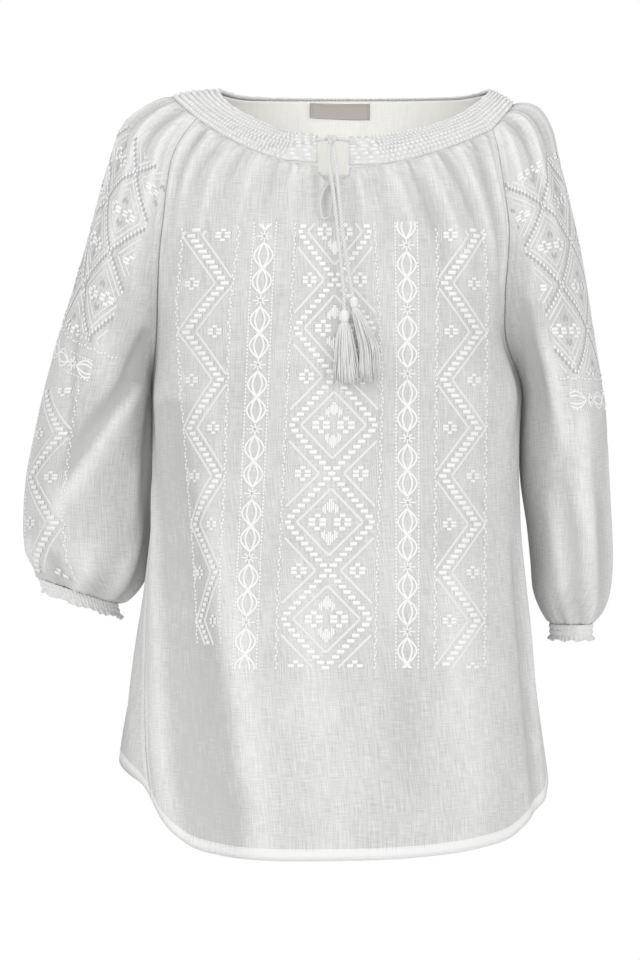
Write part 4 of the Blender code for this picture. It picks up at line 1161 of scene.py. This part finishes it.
def fibre(name, colour):
    """Soft cotton, dull, with a fine uneven surface and painted shade in the grooves between its plies."""
    made, wire, surface = new_material(name)
    place = wire.node("ShaderNodeTexCoord", {}, {}, 3)
    fluff = wire.node("ShaderNodeTexNoise", {}, {"Vector": place, "Scale": 1500.0, "Detail": 2.0})
    groove = wire.node("ShaderNodeAttribute", {"attribute_name": "groove"}, {}, 2)
    dark = tuple(0.60 * part for part in colour)
    # Painted shade: darker in the grooves between the plies.
    tone = (0.65 + fluff * 0.35 - groove * 0.75).clamped()
    wire.tree.links.new(tone.blend((*dark, 1), (*colour, 1)).socket, surface.inputs["Base Color"])
    bump = wire.node("ShaderNodeBump", {}, {"Strength": 0.5, "Distance": 0.0003, "Height": fluff})
    wire.tree.links.new(bump.socket, surface.inputs["Normal"])
    surface.inputs["Roughness"].default_value = 0.75
    surface.inputs["Sheen Weight"].default_value = 0.3
    return made


cotton = fibre("cotton_cord", (0.90, 0.90, 0.89))
CORD_RADIUS = 1.8
LOOP_RADIUS = 1.15
for name, node, radius, route in (
    ("drawstring_right_end", "tie_casing_right", CORD_RADIUS,
     [(11.8, -101.3, -51.7), (6.5, -104.5, -51.0), (1.5, -106.0, -51.0)]),
    ("drawstring_left_end", "tie_casing_left", CORD_RADIUS,
     [(-15.8, -101.3, -51.7), (-12, -104.5, -51.0), (-8.5, -106.0, -51.0)]),
    ("button_loop", "slit_loop", LOOP_RADIUS,
     [(-6.6, -118.6, -91.5), (-9.4, -119.8, -96), (-12.6, -121.6, -104), (-12.9, -123.8, -115),
      (-10.2, -125.2, -122.5), (-6.2, -125.2, -121.5), (-3.6, -123.6, -112), (-2.8, -121.2, -101),
      (-3, -118.8, -92)]),
):
    made, _ = twisted(name, route, radius, 3.6 * radius, cotton, step=0.5)
    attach(made, "root")
    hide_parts(node)

turn = np.linspace(0, 2 * np.pi, 60)
trefoil = np.stack([(np.sin(turn) + 2 * np.sin(2 * turn)) * 1.30, -np.sin(3 * turn) * 2.0,
                    (np.cos(turn) - 2 * np.cos(2 * turn)) * 1.15], -1) + (-3.5, -106.2, -51.0)
knot, _ = twisted("drawstring_knot", trefoil, 1.75, 6.5, cotton, step=0.5)
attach(knot, "root")
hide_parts("tie_knot")

# Each tail with its route, the middle and half sizes of its tassel's head, and five rows of the skirt:
# x, y, z and half width across and front to back.
STRANDS = 230
STRAND_RADIUS = 0.55
for name, route, head, wide, skirt in (
    ("left", [(-5.6, -107.4, -55.6), (-5.4, -113.8, -68), (-3.6, -124.3, -86), (-0.5, -129.8, -110),
              (2.0, -133.2, -135), (5.2, -135.6, -165), (7.4, -136.6, -190), (7.6, -137.0, -204.5),
              (7.9, -137.2, -222)],
     (7.8, -137.0, -209.5), (4.4, 3.8, 5.6),
     ((7.9, -137.2, -214.0, 2.8, 2.2), (8.0, -137.4, -220, 5.6, 3.8), (8.0, -137.8, -232, 8.2, 4.8),
      (9.0, -138.4, -250, 10.2, 5.2), (10.0, -139.0, -268, 11.4, 5.4))),
    ("right", [(-1.3, -107.4, -55.4), (-0.4, -115.8, -68), (1.6, -125.8, -86), (4.0, -130.8, -110),
               (6.4, -134.2, -135), (10.2, -136.2, -160), (13.2, -136.6, -180), (15.8, -137.0, -194),
               (20.6, -137.4, -212)],
     (16.4, -137.0, -197.4), (3.7, 3.4, 5.0),
     ((17.1, -137.2, -201.4, 2.4, 2.0), (19.2, -137.4, -207, 4.4, 3.4), (24.4, -137.8, -222, 6.6, 4.4),
      (29.6, -138.2, -240, 8.2, 5.0), (30.6, -139.0, -266, 8.6, 5.2))),
):
    tail, line = twisted("drawstring_tail_" + name, route, CORD_RADIUS, 9.5, cotton)
    turn = np.linspace(0, 2 * np.pi, 28, endpoint=False)
    height = np.linspace(-1, 1, 19)[:, None]
    swell = np.sqrt(np.maximum(0.0, 1 - 0.80 * height**2)) * (1 + 0.045 * np.cos(height * 26))
    rings = np.stack([head[0] + wide[0] * swell * np.cos(turn), head[1] + wide[1] * swell * np.sin(turn),
                      head[2] + wide[2] * height + 0 * turn], -1)
    binding = tube("tassel_binding_" + name, rings, cotton)

    chance = np.random.RandomState(41 if name == "left" else 42)
    skirt = np.array(skirt)
    shares = np.linspace(0, 1, 12)
    spine = np.stack([smooth(np.linspace(0, 1, 5), skirt[:, k], shares) for k in range(5)], -1)
    points, faces = [], []
    for _ in range(STRANDS):
        turn = 2 * np.pi * chance.rand()
        out = chance.rand() ** 0.5
        short = 0.90 + 0.13 * chance.rand()
        stray = (chance.rand(2) - 0.5) * 2.6
        wobble = np.sin(shares * (3 + 5 * chance.rand()) + 6 * chance.rand()) * shares * 0.9
        x = spine[:, 0] + spine[:, 3] * out * np.cos(turn) + (stray[0] + wobble) * shares
        y = spine[:, 1] + spine[:, 4] * out * np.sin(turn) + stray[1] * shares * 0.5
        z = spine[0, 2] + (spine[:, 2] - spine[0, 2]) * short
        for corner in range(3):
            ring = 2 * np.pi * corner / 3
            points.append(np.stack([x + STRAND_RADIUS * np.cos(ring),
                                    y + STRAND_RADIUS * np.sin(ring), z], -1))
        corners = (np.arange(3) + len(points) - 3) * 12
        for one, two in zip(corners, np.roll(corners, -1)):
            faces += [(one + k, two + k, two + k + 1, one + k + 1) for k in range(11)]
        faces += [tuple(corners + 11), tuple(corners[::-1])]
    mesh = bpy.data.meshes.new("tassel_strands_" + name)
    mesh.from_pydata((np.vstack(points) * MM).tolist(), [], faces)
    strands = finished("tassel_strands_" + name, mesh, cotton)
    for made, node in ((tail, "tie_tail_"), (binding, "tassel_head_"), (strands, "tassel_skirt_")):
        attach(made, "root")
        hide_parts(node + name)
    course = [tuple(point * MM) for point in line[::12]] + [tuple(line[-1] * MM)]
